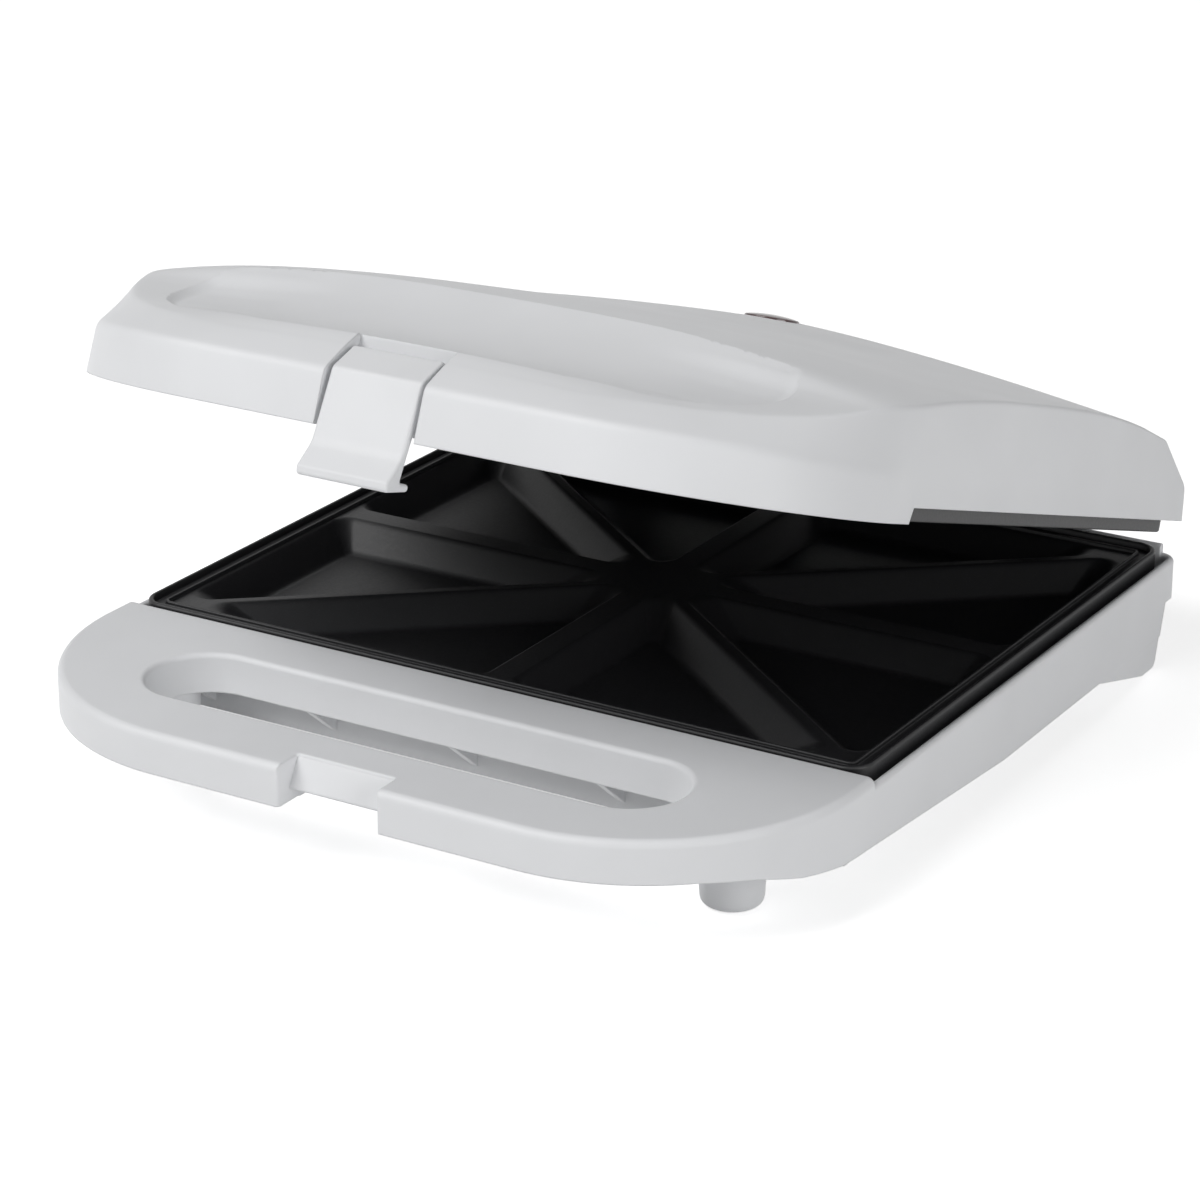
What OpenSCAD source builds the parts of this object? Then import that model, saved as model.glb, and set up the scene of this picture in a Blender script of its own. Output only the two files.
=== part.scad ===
// Four-slice sandwich toaster with a hinged lid, a latch clip and both halves' heating parts.
// Every length is in millimetres. The drawing frame of the housings has y = 0 at the plates' front
// edge and z = 0 at the top of the lower handle; place() moves it to the part's own frame.

/* [Housings] */
// Width across both housings
body_w = 273; // [271:1:276]
// Reach of the lower handle in front of the plates
handle_reach = 83; // [82:0.5:88]
// Reach of the lid's handle in front of the plates
lid_reach = 77; // [76:0.5:79]
// Corner radius of the D-shaped handles
corner_r = 72; // [60:1:76]
// Distance from the plates' front edge to the lower housing's rear wall
housing_rear = 222; // [222:0.5:223]
// Wall thickness of the mouldings
wall = 2.8; // [2.4:0.1:3]
// Depth of the handle's skirt at its front
skirt_front = 13.6; // [12:0.2:15]
// Depth of the lower housing under its handle top
pan_depth = 27.6; // [26:0.2:28]
// Height of the handle top above the table
stand_h = 38.5; // [38:0.5:42]

/* [Handle openings] */
// Half length of the carry slot
slot_half = 94.7; // [80:0.1:98]
// Radius of the carry slot's ends
slot_r = 18.1; // [15:0.1:19]
// Half width of the latch notch
notch_half = 17.3; // [17:0.1:19]

/* [Plates] */
// Width of a cooking plate
plate_w = 264; // [262:1:265]
// Depth of a cooking plate
plate_d = 218; // [216:0.5:218]
// Depth of a toasting pocket
pocket_depth = 9.5; // [7:0.5:10]
// Radius of the tubular heating elements
element_r = 3.25; // [3:0.05:3.3]

/* [Lid] */
// Angle at which the lid stands open in the stored pose
lid_open = 18.5; // [0:0.1:60]
// Height of the lid's crest above the lower handle's top
lid_crest = 50.5; // [49:0.5:52]
// Height of the floor of the lid's dish above the lower handle's top
dish_floor = 28.2; // [28:0.1:29]
// Radius of the indicator's lens
lens_r = 9.6; // [9:0.1:10]

/* [Hinge] */
// Distance of the hinge axis behind the plates' front edge
hinge_y = 229.3; // [229:0.1:230]
// Radius of the hinge pins
pin_r = 2; // [1.8:0.05:2]
// Radius of the hinge barrels
barrel_r = 5.5; // [5:0.1:5.6]

/* [Hidden] */

half_w = body_w / 2;
knuckle_high = 5;
rear_reach = hinge_y + barrel_r * cos(lid_open) + knuckle_high * sin(lid_open);
frame_y = (rear_reach - handle_reach) / 2;
rim_top = 1.0;
mirror_z = 1.3;
hinge_z = -2.2;
small_r = 6;
eps = 0.01;
skin = 3;
side_top = -2.6;
pan_half = 129;
pan_wall = 2.4;
ledge_z = -7.3;
floor_in = pan_wall - pan_depth;
boss_spots = [[0, 52], [0, 172], [-90, 109], [90, 109]];
strap_spots = [52, 172];
cover_y = 193.5;
clamp_spots = [[1, 80], [1, 140], [-1, 80], [-1, 140]];
element_x = 75;
element_front = 34;
element_back = 186;
element_exit = 22;
element_end = 196;
element_bend = 12;
element_z = -16.6;
reflector_top = -21.4;
sheet = 0.6;
slot_y = -38.9;
foot_x = 102.7;
foot_y = -24.3;
lug_spans = [[64, 70], [92, 98]];
knuckle_span = [70.4, 91.6];
lid_rear = 224;
latch_pin_y = -66.5;
latch_pin_z = 19.5;
latch_pin_r = 1.5;
recess_half = 17.3;
latch_half = 15.8;
lens_y = 163;
cord_z = -14;
side_x = 2.6;
brow_x = 134;

// ---------- frames ----------
module place() {
  translate([0, -frame_y, stand_h]) children();
}
module on_lid() {
  place()
    translate([0, hinge_y, hinge_z])
      rotate([-lid_open, 0, 0])
        translate([0, -hinge_y, -hinge_z])
          children();
}
// Copies a shape to both sides of the middle plane
module both_sides() {
  children();
  mirror([1, 0, 0]) children();
}
// Turns a shape of the lower half over to make the same piece of the upper half
module upside_down() {
  translate([0, 0, 2 * mirror_z]) mirror([0, 0, 1]) children();
}
// A block given by two opposite corners
module block(low, high) {
  translate(low) cube(high - low);
}
// A side profile, listed as [y, z] points, drawn from x0 to x1
module side_profile(points, x0, x1) {
  translate([x0, 0, 0]) rotate([90, 0, 90]) linear_extrude(x1 - x0) polygon(points);
}
// A rod along x
module rod_x(r, x0, x1, y, z) {
  translate([x0, y, z]) rotate([0, 90, 0]) cylinder(h = x1 - x0, r = r, $fn = 48);
}
// A rod along y
module rod_y(r, x, y0, y1, z) {
  translate([x, y1, z]) rotate([90, 0, 0]) cylinder(h = y1 - y0, r = r, $fn = 48);
}
// A post along z
module post(r, x, y, z0, z1) {
  translate([x, y, z0]) cylinder(h = z1 - z0, r = r, $fn = 48);
}

// ---------- shared outlines ----------
// The D-shaped outline: straight front, large front corners, small rear corners
module d_outline(hw, front, rear, r) {
  flat = hw - r;
  translate([-flat, front]) square([2 * flat, r + 1]);
  for (side = [-1, 1])
    translate([side * flat, front + r]) circle(r = r, $fn = 144);
  translate([-hw, front + r]) square([2 * hw, rear - small_r - front - r]);
  translate([small_r - hw, rear - small_r - 1]) square([2 * (hw - small_r), small_r + 1]);
  for (side = [-1, 1])
    translate([side * (hw - small_r), rear - small_r]) circle(r = small_r, $fn = 48);
}
module d_prism(hw, front, rear, r, z0, z1) {
  translate([0, 0, z0]) linear_extrude(z1 - z0) d_outline(hw, front, rear, r);
}
// A long hole or plate with round ends
module stadium(half, r, z0, z1) {
  translate([0, slot_y, z0]) linear_extrude(z1 - z0) {
    square([2 * (half - r), 2 * r], center = true);
    for (side = [-1, 1]) translate([side * (half - r), 0]) circle(r = r, $fn = 96);
  }
}
// A rectangle with round corners, from x = -w/2 to w/2 and y = y0 to y1
module round_plate(w, y0, y1, r, z0, z1) {
  translate([0, 0, z0]) linear_extrude(z1 - z0) {
    translate([r - w / 2, y0]) square([w - 2 * r, y1 - y0]);
    translate([-w / 2, y0 + r]) square([w, y1 - y0 - 2 * r]);
    for (side = [-1, 1])
      for (y = [y0 + r, y1 - r])
        translate([side * (w / 2 - r), y]) circle(r = r, $fn = 48);
  }
}

// ---------- lower housing ----------
edge_r = 3;
// The handle's rounded top edge, as quarter rounds along the D outline
module handle_top_edge() {
  flat = half_w - corner_r;
  rod_x(edge_r, -flat, flat, edge_r - handle_reach, -edge_r);
  both_sides() {
    translate([flat, corner_r - handle_reach, -edge_r])
      rotate([0, 0, -90])
        rotate_extrude(angle = 90, $fn = 144)
          translate([corner_r - edge_r, 0]) circle(r = edge_r, $fn = 32);
    rod_y(edge_r, half_w - edge_r, corner_r - handle_reach, -0.6, -edge_r);
  }
}
// Everything under the slanting lower edge of the side walls, and behind the sloping rear
module side_wall_cutter() {
  side_profile([
    [-100, -skirt_front], [-64, -skirt_front], [-36, -18.6], [-3, -21.6],
    [88, -pan_depth], [208.9, -pan_depth], [212.2, -16.6], [240, -16.6],
    [240, -60], [-100, -60]
  ], -150, 150);
}
module handle_shell() {
  difference() {
    union() {
      d_prism(half_w, -handle_reach, housing_rear, corner_r, -40, -edge_r);
      d_prism(half_w - edge_r, edge_r - handle_reach, housing_rear - edge_r,
        corner_r - edge_r, -edge_r - 1, 0);
      handle_top_edge();
    }
    d_prism(half_w - wall, wall - handle_reach, housing_rear - wall, corner_r - wall, -41, -skin);
    block([wall - half_w, -0.6, -6], [half_w - wall, housing_rear - wall, 5]);
    block([-150, -0.6, side_top], [150, 240, 5]);
    side_wall_cutter();
    stadium(slot_half, slot_r, -30, 5);
    block([-notch_half, -95, -30], [notch_half, -72.5, 5]);
  }
}
module slot_collar() {
  difference() {
    stadium(slot_half + 2.4, slot_r + 2.4, -14, -1);
    stadium(slot_half, slot_r, -30, 5);
  }
}
// The wall around the latch notch, with the ramp that the latch hooks under
module notch_walls() {
  both_sides()
    block([notch_half, -80.5, -skirt_front], [notch_half + 2.4, -69.7, -1]);
  side_profile([
    [-69.7, -0.2], [-72.6, -0.2], [-72.6, -0.8], [-77.3, -9.2], [-77.3, -9.7],
    [-74.6, -9.7], [-69.7, -2]
  ], -notch_half - 1, notch_half + 1);
}
module pan() {
  block([-pan_half, -3, -pan_depth], [pan_half, 208, floor_in]);
  block([-pan_half, -3, -pan_depth], [pan_half, -0.6, -1]);
  both_sides() {
    block([pan_half - pan_wall, -3, -pan_depth], [pan_half, 208, ledge_z]);
    block([pan_half - pan_wall, -3, ledge_z - 2.2], [half_w - 1, 220, ledge_z]);
  }
  side_profile([
    [206.5, -pan_depth], [208.9, -pan_depth], [212.2, -16.6], [222, -16.6], [222, -1.2],
    [220.4, 0.6], [219.2, 0.6], [219.2, -14.2], [209.9, -14.2]
  ], small_r - half_w, half_w - small_r);
}
// Ribs between the pan's front wall and the slot's collar
module gussets() {
  for (x = [-100, -53, 0, 53, 100])
    side_profile([[-2.8, -2], [-2.8, -26], [-19, -13.4], [-19, -2]], x - 1, x + 1);
}
// The front foot: a tapered round leg with a rounded end and a pocket for its pad
module front_foot() {
  translate([foot_x, foot_y, -stand_h])
    rotate_extrude($fn = 72)
      polygon(concat(
        [[0, 1.6], [7, 1.6], [7, 0.5]],
        [for (a = [0:15:75]) [7.2 + 2.4 * sin(a), 2.9 - 2.4 * cos(a)]],
        [[9.7, 3.2], [11.3, stand_h - 2], [0, stand_h - 2]]
      ));
}
module rear_block() {
  difference() {
    side_profile([
      [159, -pan_depth], [196, 0.5 - stand_h], [204.9, 0.5 - stand_h], [206.6, -36.5],
      [212.2, -16.6], [212.2, -15], [209.9, -15], [207, 1.2 - pan_depth], [159, 1.2 - pan_depth]
    ], 108, half_w - 0.2);
    block([112, 197, -stand_h - 1], [132, 204, 1.6 - stand_h]);
  }
}
module base_lugs() {
  both_sides()
    for (span = lug_spans) {
      rod_x(barrel_r, span[0], span[1], hinge_y, hinge_z);
      side_profile([
        [221, -13], [223.5, -13], [hinge_y + 3.9, hinge_z - 3.9], [hinge_y, hinge_z + barrel_r],
        [223.5, 1.6], [221, -0.4]
      ], span[0], span[1]);
    }
}
module base_housing() {
  color("whitesmoke") place() difference() {
    union() {
      handle_shell();
      slot_collar();
      notch_walls();
      pan();
      gussets();
      both_sides() front_foot();
      both_sides() rear_block();
      base_lugs();
      block([-12, 207, -24], [12, 222, -12]);
      for (spot = boss_spots) post(4.5, spot[0], spot[1], floor_in - 1, reflector_top - sheet);
      for (side = [-1, 1]) post(4, side * 27, cover_y, floor_in - 1, -22.4);
    }
    both_sides() rod_x(pin_r + 0.03, 60, 101, hinge_y, hinge_z);
    for (spot = boss_spots) {
      post(1.9, spot[0], spot[1], -30, -20);
      post(3.6, spot[0], spot[1], -30, -24.4);
    }
    round_plate(62, cover_y - 11.5, cover_y + 11.5, 3, -30, 1.2 - pan_depth);
    block([-22, cover_y - 8, -30], [22, cover_y + 8, floor_in + 1]);
    for (side = [-1, 1]) post(1.2, side * 27, cover_y, -30, -22.9);
    block([-9.6, 203, -21.4], [9.6, 219.2, -12]);
    rod_y(6, 0, 214, 226, cord_z);
    for (x = [-80, -62, -44, 44, 62, 80])
      round_vent(x, 66);
  }
}
// A ventilation slot through the pan's floor
module round_vent(x, y) {
  block([x - 1.6, y, -30], [x + 1.6, y + 26, -20]);
  for (end_y = [y, y + 26]) post(1.6, x, end_y, -30, -20);
}
module foot_pads() {
  color("dimgray") place() both_sides() {
    post(6.8, foot_x, foot_y, -stand_h, 1.5 - stand_h);
    block([112.3, 197.3, -stand_h], [131.7, 203.7, 1.5 - stand_h]);
  }
}
module service_cover() {
  color("whitesmoke") place() difference() {
    union() {
      round_plate(61.4, cover_y - 11.2, cover_y + 11.2, 2.7, -pan_depth, 1.1 - pan_depth);
      block([-21, cover_y - 7.6, -pan_depth], [21, cover_y - 6.4, floor_in + 0.6]);
      block([-21, cover_y + 6.4, -pan_depth], [21, cover_y + 7.6, floor_in - 0.1]);
    }
    for (side = [-1, 1]) post(1.7, side * 27, cover_y, -30, -25);
  }
}
// A round-headed screw pointing up, its head's underside at z0
module screw_up(x, y, z0, shank_r, head_r, head_h, length) {
  post(shank_r, x, y, z0 - eps, z0 + length);
  difference() {
    post(head_r, x, y, z0 - head_h, z0);
    block([x - 0.4, y - head_r * 0.6, z0 - head_h - 1], [x + 0.4, y + head_r * 0.6, z0 - head_h + 0.6]);
    block([x - head_r * 0.6, y - 0.4, z0 - head_h - 1], [x + head_r * 0.6, y + 0.4, z0 - head_h + 0.6]);
  }
}
module service_cover_screws() {
  color("silver") place()
    for (side = [-1, 1]) screw_up(side * 27, cover_y, -pan_depth, 1.15, 2.6, 1.4, 4.3);
}

// ---------- cooking plates ----------
// Corners of one triangular pocket: quadrant sx, sy and the half beside the diagonal
in_x = 5;
in_y = 5;
out_x = plate_w / 2 - 7.5;
out_y = plate_d / 2 - 7.5;
function pocket_corners(half) = half == 0
  ? [[in_x + 3.4, in_y], [out_x, in_y], [out_x, out_y - 2.8]]
  : [[in_x, in_y + 2.8], [out_x - 3.4, out_y], [in_x, out_y]];
function edge_len(a, b) = norm(a - b);
// Centre and radius of the circle inside a triangle
function in_centre(t) =
  (edge_len(t[1], t[2]) * t[0] + edge_len(t[2], t[0]) * t[1] + edge_len(t[0], t[1]) * t[2])
  / (edge_len(t[1], t[2]) + edge_len(t[2], t[0]) + edge_len(t[0], t[1]));
function tri_area(t) =
  abs((t[1].x - t[0].x) * (t[2].y - t[0].y) - (t[2].x - t[0].x) * (t[1].y - t[0].y)) / 2;
function in_radius(t) =
  2 * tri_area(t) / (edge_len(t[1], t[2]) + edge_len(t[2], t[0]) + edge_len(t[0], t[1]));
// The triangle with every side moved inwards by d
function inset_tri(t, d) = [for (p = t) in_centre(t) + (p - in_centre(t)) * (1 - d / in_radius(t))];
// A tapered triangular pocket, its top edge at z1 and its floor at z0, drawn d wider all round
module pocket(half, z0, z1, d) {
  top = inset_tri(pocket_corners(half), -d);
  low = inset_tri(pocket_corners(half), pocket_depth * 0.9 - d * 0.6);
  polyhedron(
    points = concat([for (p = low) [p.x, p.y, z0]], [for (p = top) [p.x, p.y, z1]]),
    faces = [[0, 1, 2], [5, 4, 3], [0, 3, 4, 1], [1, 4, 5, 2], [2, 5, 3, 0]]
  );
}
module all_pockets(z0, z1, d) {
  for (sx = [0, 1])
    for (sy = [0, 1])
      translate([0, plate_d / 2, 0])
        mirror([sx, 0, 0]) mirror([0, sy, 0])
          for (half = [0, 1]) pocket(half, z0, z1, d);
}
land_z = rim_top - 2.2;
module cooking_plate() {
  difference() {
    union() {
      difference() {
        round_plate(plate_w, 0, plate_d, 8, -6.2, rim_top);
        round_plate(plate_w - 4.4, 2.2, plate_d - 2.2, 5.8, land_z, 5);
        round_plate(plate_w - 4.4, 2.2, plate_d - 2.2, 5.8, -10, land_z - 2.6);
      }
      difference() {
        round_plate(plate_w - 11, 5.5, plate_d - 5.5, 4, land_z - 0.5, rim_top - 0.9);
        round_plate(plate_w - 13.4, 6.7, plate_d - 6.7, 2.8, land_z - 1, 5);
      }
      all_pockets(land_z - pocket_depth - 2.4, land_z - 1.6, 2.6);
      for (spot = boss_spots) post(4, spot[0], spot[1], reflector_top, land_z - 1.5);
      for (c = clamp_spots) post(3.2, c[0] * 63, c[1], -element_r + element_z - 0.05, land_z - 5);
      post(8.5, 0, 109, -13.6, land_z - 1.5);
    }
    all_pockets(land_z - pocket_depth, land_z + 0.01, 0);
    for (spot = boss_spots) post(1.55, spot[0], spot[1], -30, -9);
    for (c = clamp_spots) post(1.25, c[0] * 63, c[1], -30, -16);
  }
}
module lower_plate() {
  color([0.08, 0.08, 0.09]) place() cooking_plate();
}
module upper_plate() {
  color([0.08, 0.08, 0.09]) on_lid() upside_down() cooking_plate();
}
module lower_plate_screws() {
  color("silver") place()
    for (spot = boss_spots) screw_up(spot[0], spot[1], -24.4, 1.5, 3.2, 2, 14);
}
module upper_plate_screws() {
  color("silver") on_lid() upside_down()
    for (spot = boss_spots)
      screw_up(spot[0], spot[1], reflector_top - sheet - (spot[0] == 0 ? 1.2 : 0), 1.5, 3, 1.8, 10);
}

// ---------- heating parts, drawn for the lower half ----------
module element_half() {
  b = element_bend;
  x0 = element_exit;
  x1 = element_x;
  rod_x(element_r, 0, x1 - b, element_front, element_z);
  translate([x1 - b, element_front + b, element_z])
    rotate([0, 0, -90])
      rotate_extrude(angle = 90, $fn = 72) translate([b, 0]) circle(r = element_r, $fn = 36);
  rod_y(element_r, x1, element_front + b, element_back - b, element_z);
  translate([x1 - b, element_back - b, element_z])
    rotate_extrude(angle = 90, $fn = 72) translate([b, 0]) circle(r = element_r, $fn = 36);
  rod_x(element_r, x0 + 6, x1 - b, element_back, element_z);
  translate([x0 + 6, element_back + 6, element_z])
    rotate([0, 0, 180])
      rotate_extrude(angle = 90, $fn = 72) translate([6, 0]) circle(r = element_r, $fn = 36);
  rod_y(element_r, x0, element_back + 6, element_end, element_z);
  rod_y(1.2, x0, element_end - 1, 206, element_z);
}
module element() {
  both_sides() element_half();
}
module element_ceramics() {
  both_sides() difference() {
    union() {
      rod_y(3.4, element_exit, element_end + 0.1, element_end + 2.6, element_z);
      rod_y(2.6, element_exit, element_end + 2, element_end + 5, element_z);
    }
    rod_y(1.3, element_exit, element_end - 1, element_end + 6, element_z);
  }
}
// Steel straps that hold the element against the plate
module element_clamps() {
  z1 = element_z - element_r - 0.1;
  for (c = clamp_spots)
    mirror([c[0] > 0 ? 0 : 1, 0, 0]) difference() {
      block([58.6, c[1] - 5, z1 - 1], [element_x + 4.5, c[1] + 5, z1]);
      post(1.6, 63, c[1], -30, 0);
    }
}
module clamp_screws() {
  for (c = clamp_spots)
    screw_up(c[0] * 63, c[1], element_z - element_r - 1.1, 1.2, 2.4, 1.3, 4.2);
}
// Folded steel tray between the element and the housing
module reflector() {
  difference() {
    union() {
      block([-118, 14, reflector_top - sheet], [118, 196, reflector_top]);
      block([-118, 14, reflector_top - sheet], [118, 14 + sheet, reflector_top + 5]);
      both_sides()
        block([118 - sheet, 14, reflector_top - sheet], [118, 196, reflector_top + 5]);
      for (y = [60, 158]) block([-100, y - 2, reflector_top - 0.1], [-30, y + 2, reflector_top + 0.5]);
      for (y = [60, 158]) block([30, y - 2, reflector_top - 0.1], [100, y + 2, reflector_top + 0.5]);
    }
    for (spot = boss_spots) post(1.9, spot[0], spot[1], -30, 0);
    for (c = clamp_spots) post(4, c[0] * 63, c[1], -30, 0);
    post(14, 0, 109, -30, 0);
    block([-18, 188, -30], [18, 200, 0]);
  }
}
module lower_reflector() {
  color("gainsboro") place() reflector();
}
module upper_reflector() {
  color("gainsboro") on_lid() upside_down() reflector();
}
module lower_element() {
  color("slategray") place() element();
}
module upper_element() {
  color("slategray") on_lid() upside_down() element();
}
module lower_element_ceramics() {
  color("ivory") place() element_ceramics();
}
module upper_element_ceramics() {
  color("ivory") on_lid() upside_down() element_ceramics();
}
module lower_element_clamps() {
  color("silver") place() element_clamps();
}
module upper_element_clamps() {
  color("silver") on_lid() upside_down() element_clamps();
}
module lower_clamp_screws() {
  color("silver") place() clamp_screws();
}
module upper_clamp_screws() {
  color("silver") on_lid() upside_down() clamp_screws();
}
module thermostat() {
  color("tan") place() {
    post(7.5, 0, 109, -17.6, -13.65);
    post(9, 0, 109, -20.6, -17.5);
    for (side = [-1, 1]) block([side * 6.5 - 2.4, 108.6, -24.3], [side * 6.5 + 2.4, 109.4, -20.5]);
  }
}
module thermal_fuse() {
  color("khaki") place() {
    rod_y(2, 0, 135, 146, -18.4);
    rod_y(0.5, 0, 132, 149, -18.4);
    block([-3, 138, -21.35], [3, 143, -19.6]);
  }
}
module terminal_block() {
  color("ivory") place() difference() {
    union() {
      block([-15, 197.3, floor_in], [15, 206.8, -19.5]);
      for (x = [-10, 0, 10]) post(3, x, 202, -20, -17.5);
    }
    for (x = [-10, 0, 10]) post(1.6, x, 202, -21, -10);
    for (x = [-10, 0, 10]) rod_y(1.7, x, 190, 215, -22.4);
  }
}
module cord_bushing() {
  color("dimgray") place() difference() {
    union() {
      rod_y(7.6, 0, 222.1, 224.2, cord_z);
      rod_y(5.9, 0, 218, 222.2, cord_z);
      rod_y(7, 0, 216.4, 218.9, cord_z);
      rod_y(5.4, 0, 224, 233, cord_z);
    }
    rod_y(3.5, 0, 210, 240, cord_z);
  }
}
// A wire run through the listed points, eight-sided
wire_sides = 8;
function unit(v) = v / norm(v);
function wire_dir(p, i) = unit(p[min(i + 1, len(p) - 1)] - p[max(i - 1, 0)]);
function wire_ring(c, dir, r) =
  let (u = unit(cross(dir, abs(dir.z) > 0.8 ? [1, 0, 0] : [0, 0, 1])), v = cross(u, dir))
  [for (k = [0:wire_sides - 1])
    c + r * (u * cos(360 * k / wire_sides) + v * sin(360 * k / wire_sides))];
module wire(p, r) {
  last = len(p) - 1;
  polyhedron(
    [for (i = [0:last]) each wire_ring(p[i], wire_dir(p, i), r)],
    concat(
      [[for (k = [0:wire_sides - 1]) k]],
      [for (i = [0:last - 1]) for (k = [0:wire_sides - 1]) each [
        [i * wire_sides + k, (i + 1) * wire_sides + k, (i + 1) * wire_sides + (k + 1) % wire_sides],
        [i * wire_sides + k, (i + 1) * wire_sides + (k + 1) % wire_sides, i * wire_sides + (k + 1) % wire_sides]
      ]],
      [[for (k = [wire_sides - 1:-1:0]) last * wire_sides + k]]
    )
  );
}
// A smooth path through the listed points
function spline_at(a, b, c, d, t) =
  0.5 * (2 * b + (c - a) * t + (2 * a - 5 * b + 4 * c - d) * t * t + (3 * b - a - 3 * c + d) * t * t * t);
function spline(p, n) = let (last = len(p) - 1) concat(
  [for (i = [0:last - 1]) for (k = [0:n - 1])
    spline_at(p[max(i - 1, 0)], p[i], p[i + 1], p[min(i + 2, last)], k / n)],
  [p[last]]
);
module base_leads() {
  color("firebrick") place() {
    wire(spline([[10, 199, -22.6], [10, 196.5, -23.3], [11.5, 192.5, -23.7], [16, 190.5, -23.7],
      [20.5, 192.5, -23.7], [22, 197.5, -23], [22, 202.5, -20.8], [22, 203.2, -18.2]], 3), 0.9);
    wire(spline([[-10, 199, -22.6], [-10, 195.5, -23.4], [-9, 188, -23.7], [-7.5, 150, -23.7],
      [-6.5, 125, -23.7], [-6.5, 110.2, -23]], 3), 0.9);
    wire(spline([[6.5, 110.2, -22.6], [6.4, 113.5, -22.6], [5, 118, -21], [2, 124.5, -19.4],
      [0, 131.8, -18.4]], 3), 0.8);
    wire(spline([[0, 149.2, -18.4], [-3, 156, -19], [-8, 166, -19.6], [-11, 180, -19.8],
      [-12.5, 190, -19.4], [-15.6, 197, -18.3], [-17.2, 202, -18.3], [-19.6, 204.3, -18.6],
      [-22, 204.5, -18.75]], 3), 0.9);
  }
}

// ---------- hinge ----------
module hinge_pins() {
  color("silver") place() both_sides() {
    rod_x(pin_r, 61.6, 100.4, hinge_y, hinge_z);
    rod_x(3.6, 61.6, 63.6, hinge_y, hinge_z);
  }
}
module hinge_pin_clips() {
  color("gray") place() both_sides() difference() {
    rod_x(4.2, 98.4, 99.4, hinge_y, hinge_z);
    rod_x(pin_r + 0.02, 98, 100, hinge_y, hinge_z);
    block([98, hinge_y - 1.2, hinge_z - 6], [100, hinge_y + 1.2, hinge_z]);
  }
}
module hinge_knuckles() {
  color("whitesmoke") on_lid() both_sides() difference() {
    union() {
      rod_x(barrel_r, knuckle_span[0], knuckle_span[1], hinge_y, hinge_z);
      side_profile([
        [lid_rear + 0.15, 1], [hinge_y, hinge_z - 2], [hinge_y + barrel_r, hinge_z],
        [hinge_y + barrel_r, hinge_z + knuckle_high],
        [lid_rear + 2.6, 19.6], [lid_rear + 0.15, 19.6]
      ], knuckle_span[0], knuckle_span[1]);
    }
    rod_x(pin_r + 0.06, 60, 101, hinge_y, hinge_z);
    for (x = [75.5, 86.5]) rod_y(1.3, x, 220, 228.5, 12.5);
  }
}
module hinge_knuckle_screws() {
  color("silver") on_lid() both_sides()
    for (x = [75.5, 86.5]) {
      rod_y(1.25, x, 219, 228, 12.5);
      rod_y(2.6, x, 217.9, 220.5, 12.5);
    }
}

// ---------- lid shell ----------
// Height of the crease round the lid's top, by distance from the plates' front edge
side_crease = [
  [-70, 22], [-66, 21.3], [-59, 20.8], [-49.5, 23.1], [-37.5, 26.8], [-22, 31], [-5, 34.4],
  [14, 36.6], [31, 38.1], [65, 39.6], [105, 39.8], [130, 39.5], [155, 38.3], [175, 36.4], [190, 34.2],
  [205, 32]
];
// Height of the crown over the lid's middle line: the low brow in front, then the body with its plateau
middle_crest = [
  [-70, 23.3], [-67, 25.2], [-61.5, 28.8], [-57, 30.6], [-48, 32], [-35, 32.2], [-25, 33.6],
  [-18, 37], [-11, 43.6], [-6, 45.2], [0, 45.8], [15, 46.8], [30, 47.6], [60, 48.3], [100, 48.8],
  [108, 49.1], [118, 49.8], [127, 50.3], [145, 50.5], [170, 50.5], [180, 48.6], [188, 45.2],
  [201, 37.4], [205, 35.2]
];
// How flat the crown is across the lid
function crown_power(y) = lookup(y, [[-66, 1.6], [-30, 2.4], [-8, 3], [60, 1.6], [100, 1.5]]);
function crest_rise(y) = (lid_crest - 50.5) * lookup(y, [[-20, 0], [60, 1], [170, 1], [200, 0]]);
function crown_at(x, y) =
  lookup(y, side_crease)
  + (lookup(y, middle_crest) + crest_rise(y) - lookup(y, side_crease))
  * (1 - pow(min(1, abs(x) / brow_x), crown_power(y)));
// The dish behind the brow: a curved floor with steep ends
dish_low_y = -50;
function dish_curve(y) = y > dish_low_y
  ? 17 * pow((y - dish_low_y) / 46, 2) : 1.5 * pow((dish_low_y - y) / 14.5, 2);
function dish_fall(x, y) = 2.4 * pow(x / 79, 2) * min(1, max(0, (-20 - y) / 42));
function dish_edge(x, y) = pow(abs(x) / 112, 2.6) + pow(max(0, -44 - y) / 30, 2.2);
function dish_at(x, y) =
  dish_floor + dish_curve(y) - dish_fall(x, y) + 6.5 * pow(max(0, (dish_edge(x, y) - 0.55) / 0.45), 2);
// The lower of two heights, with their crease rounded over the height k
function lower_of(a, b, k) = min(a, b) - pow(max(0, k - abs(a - b)), 2) / (4 * k);
function lid_top(x, y) = y > 8 ? crown_at(x, y) : lower_of(crown_at(x, y), dish_at(x, y), 0.8);
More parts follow.
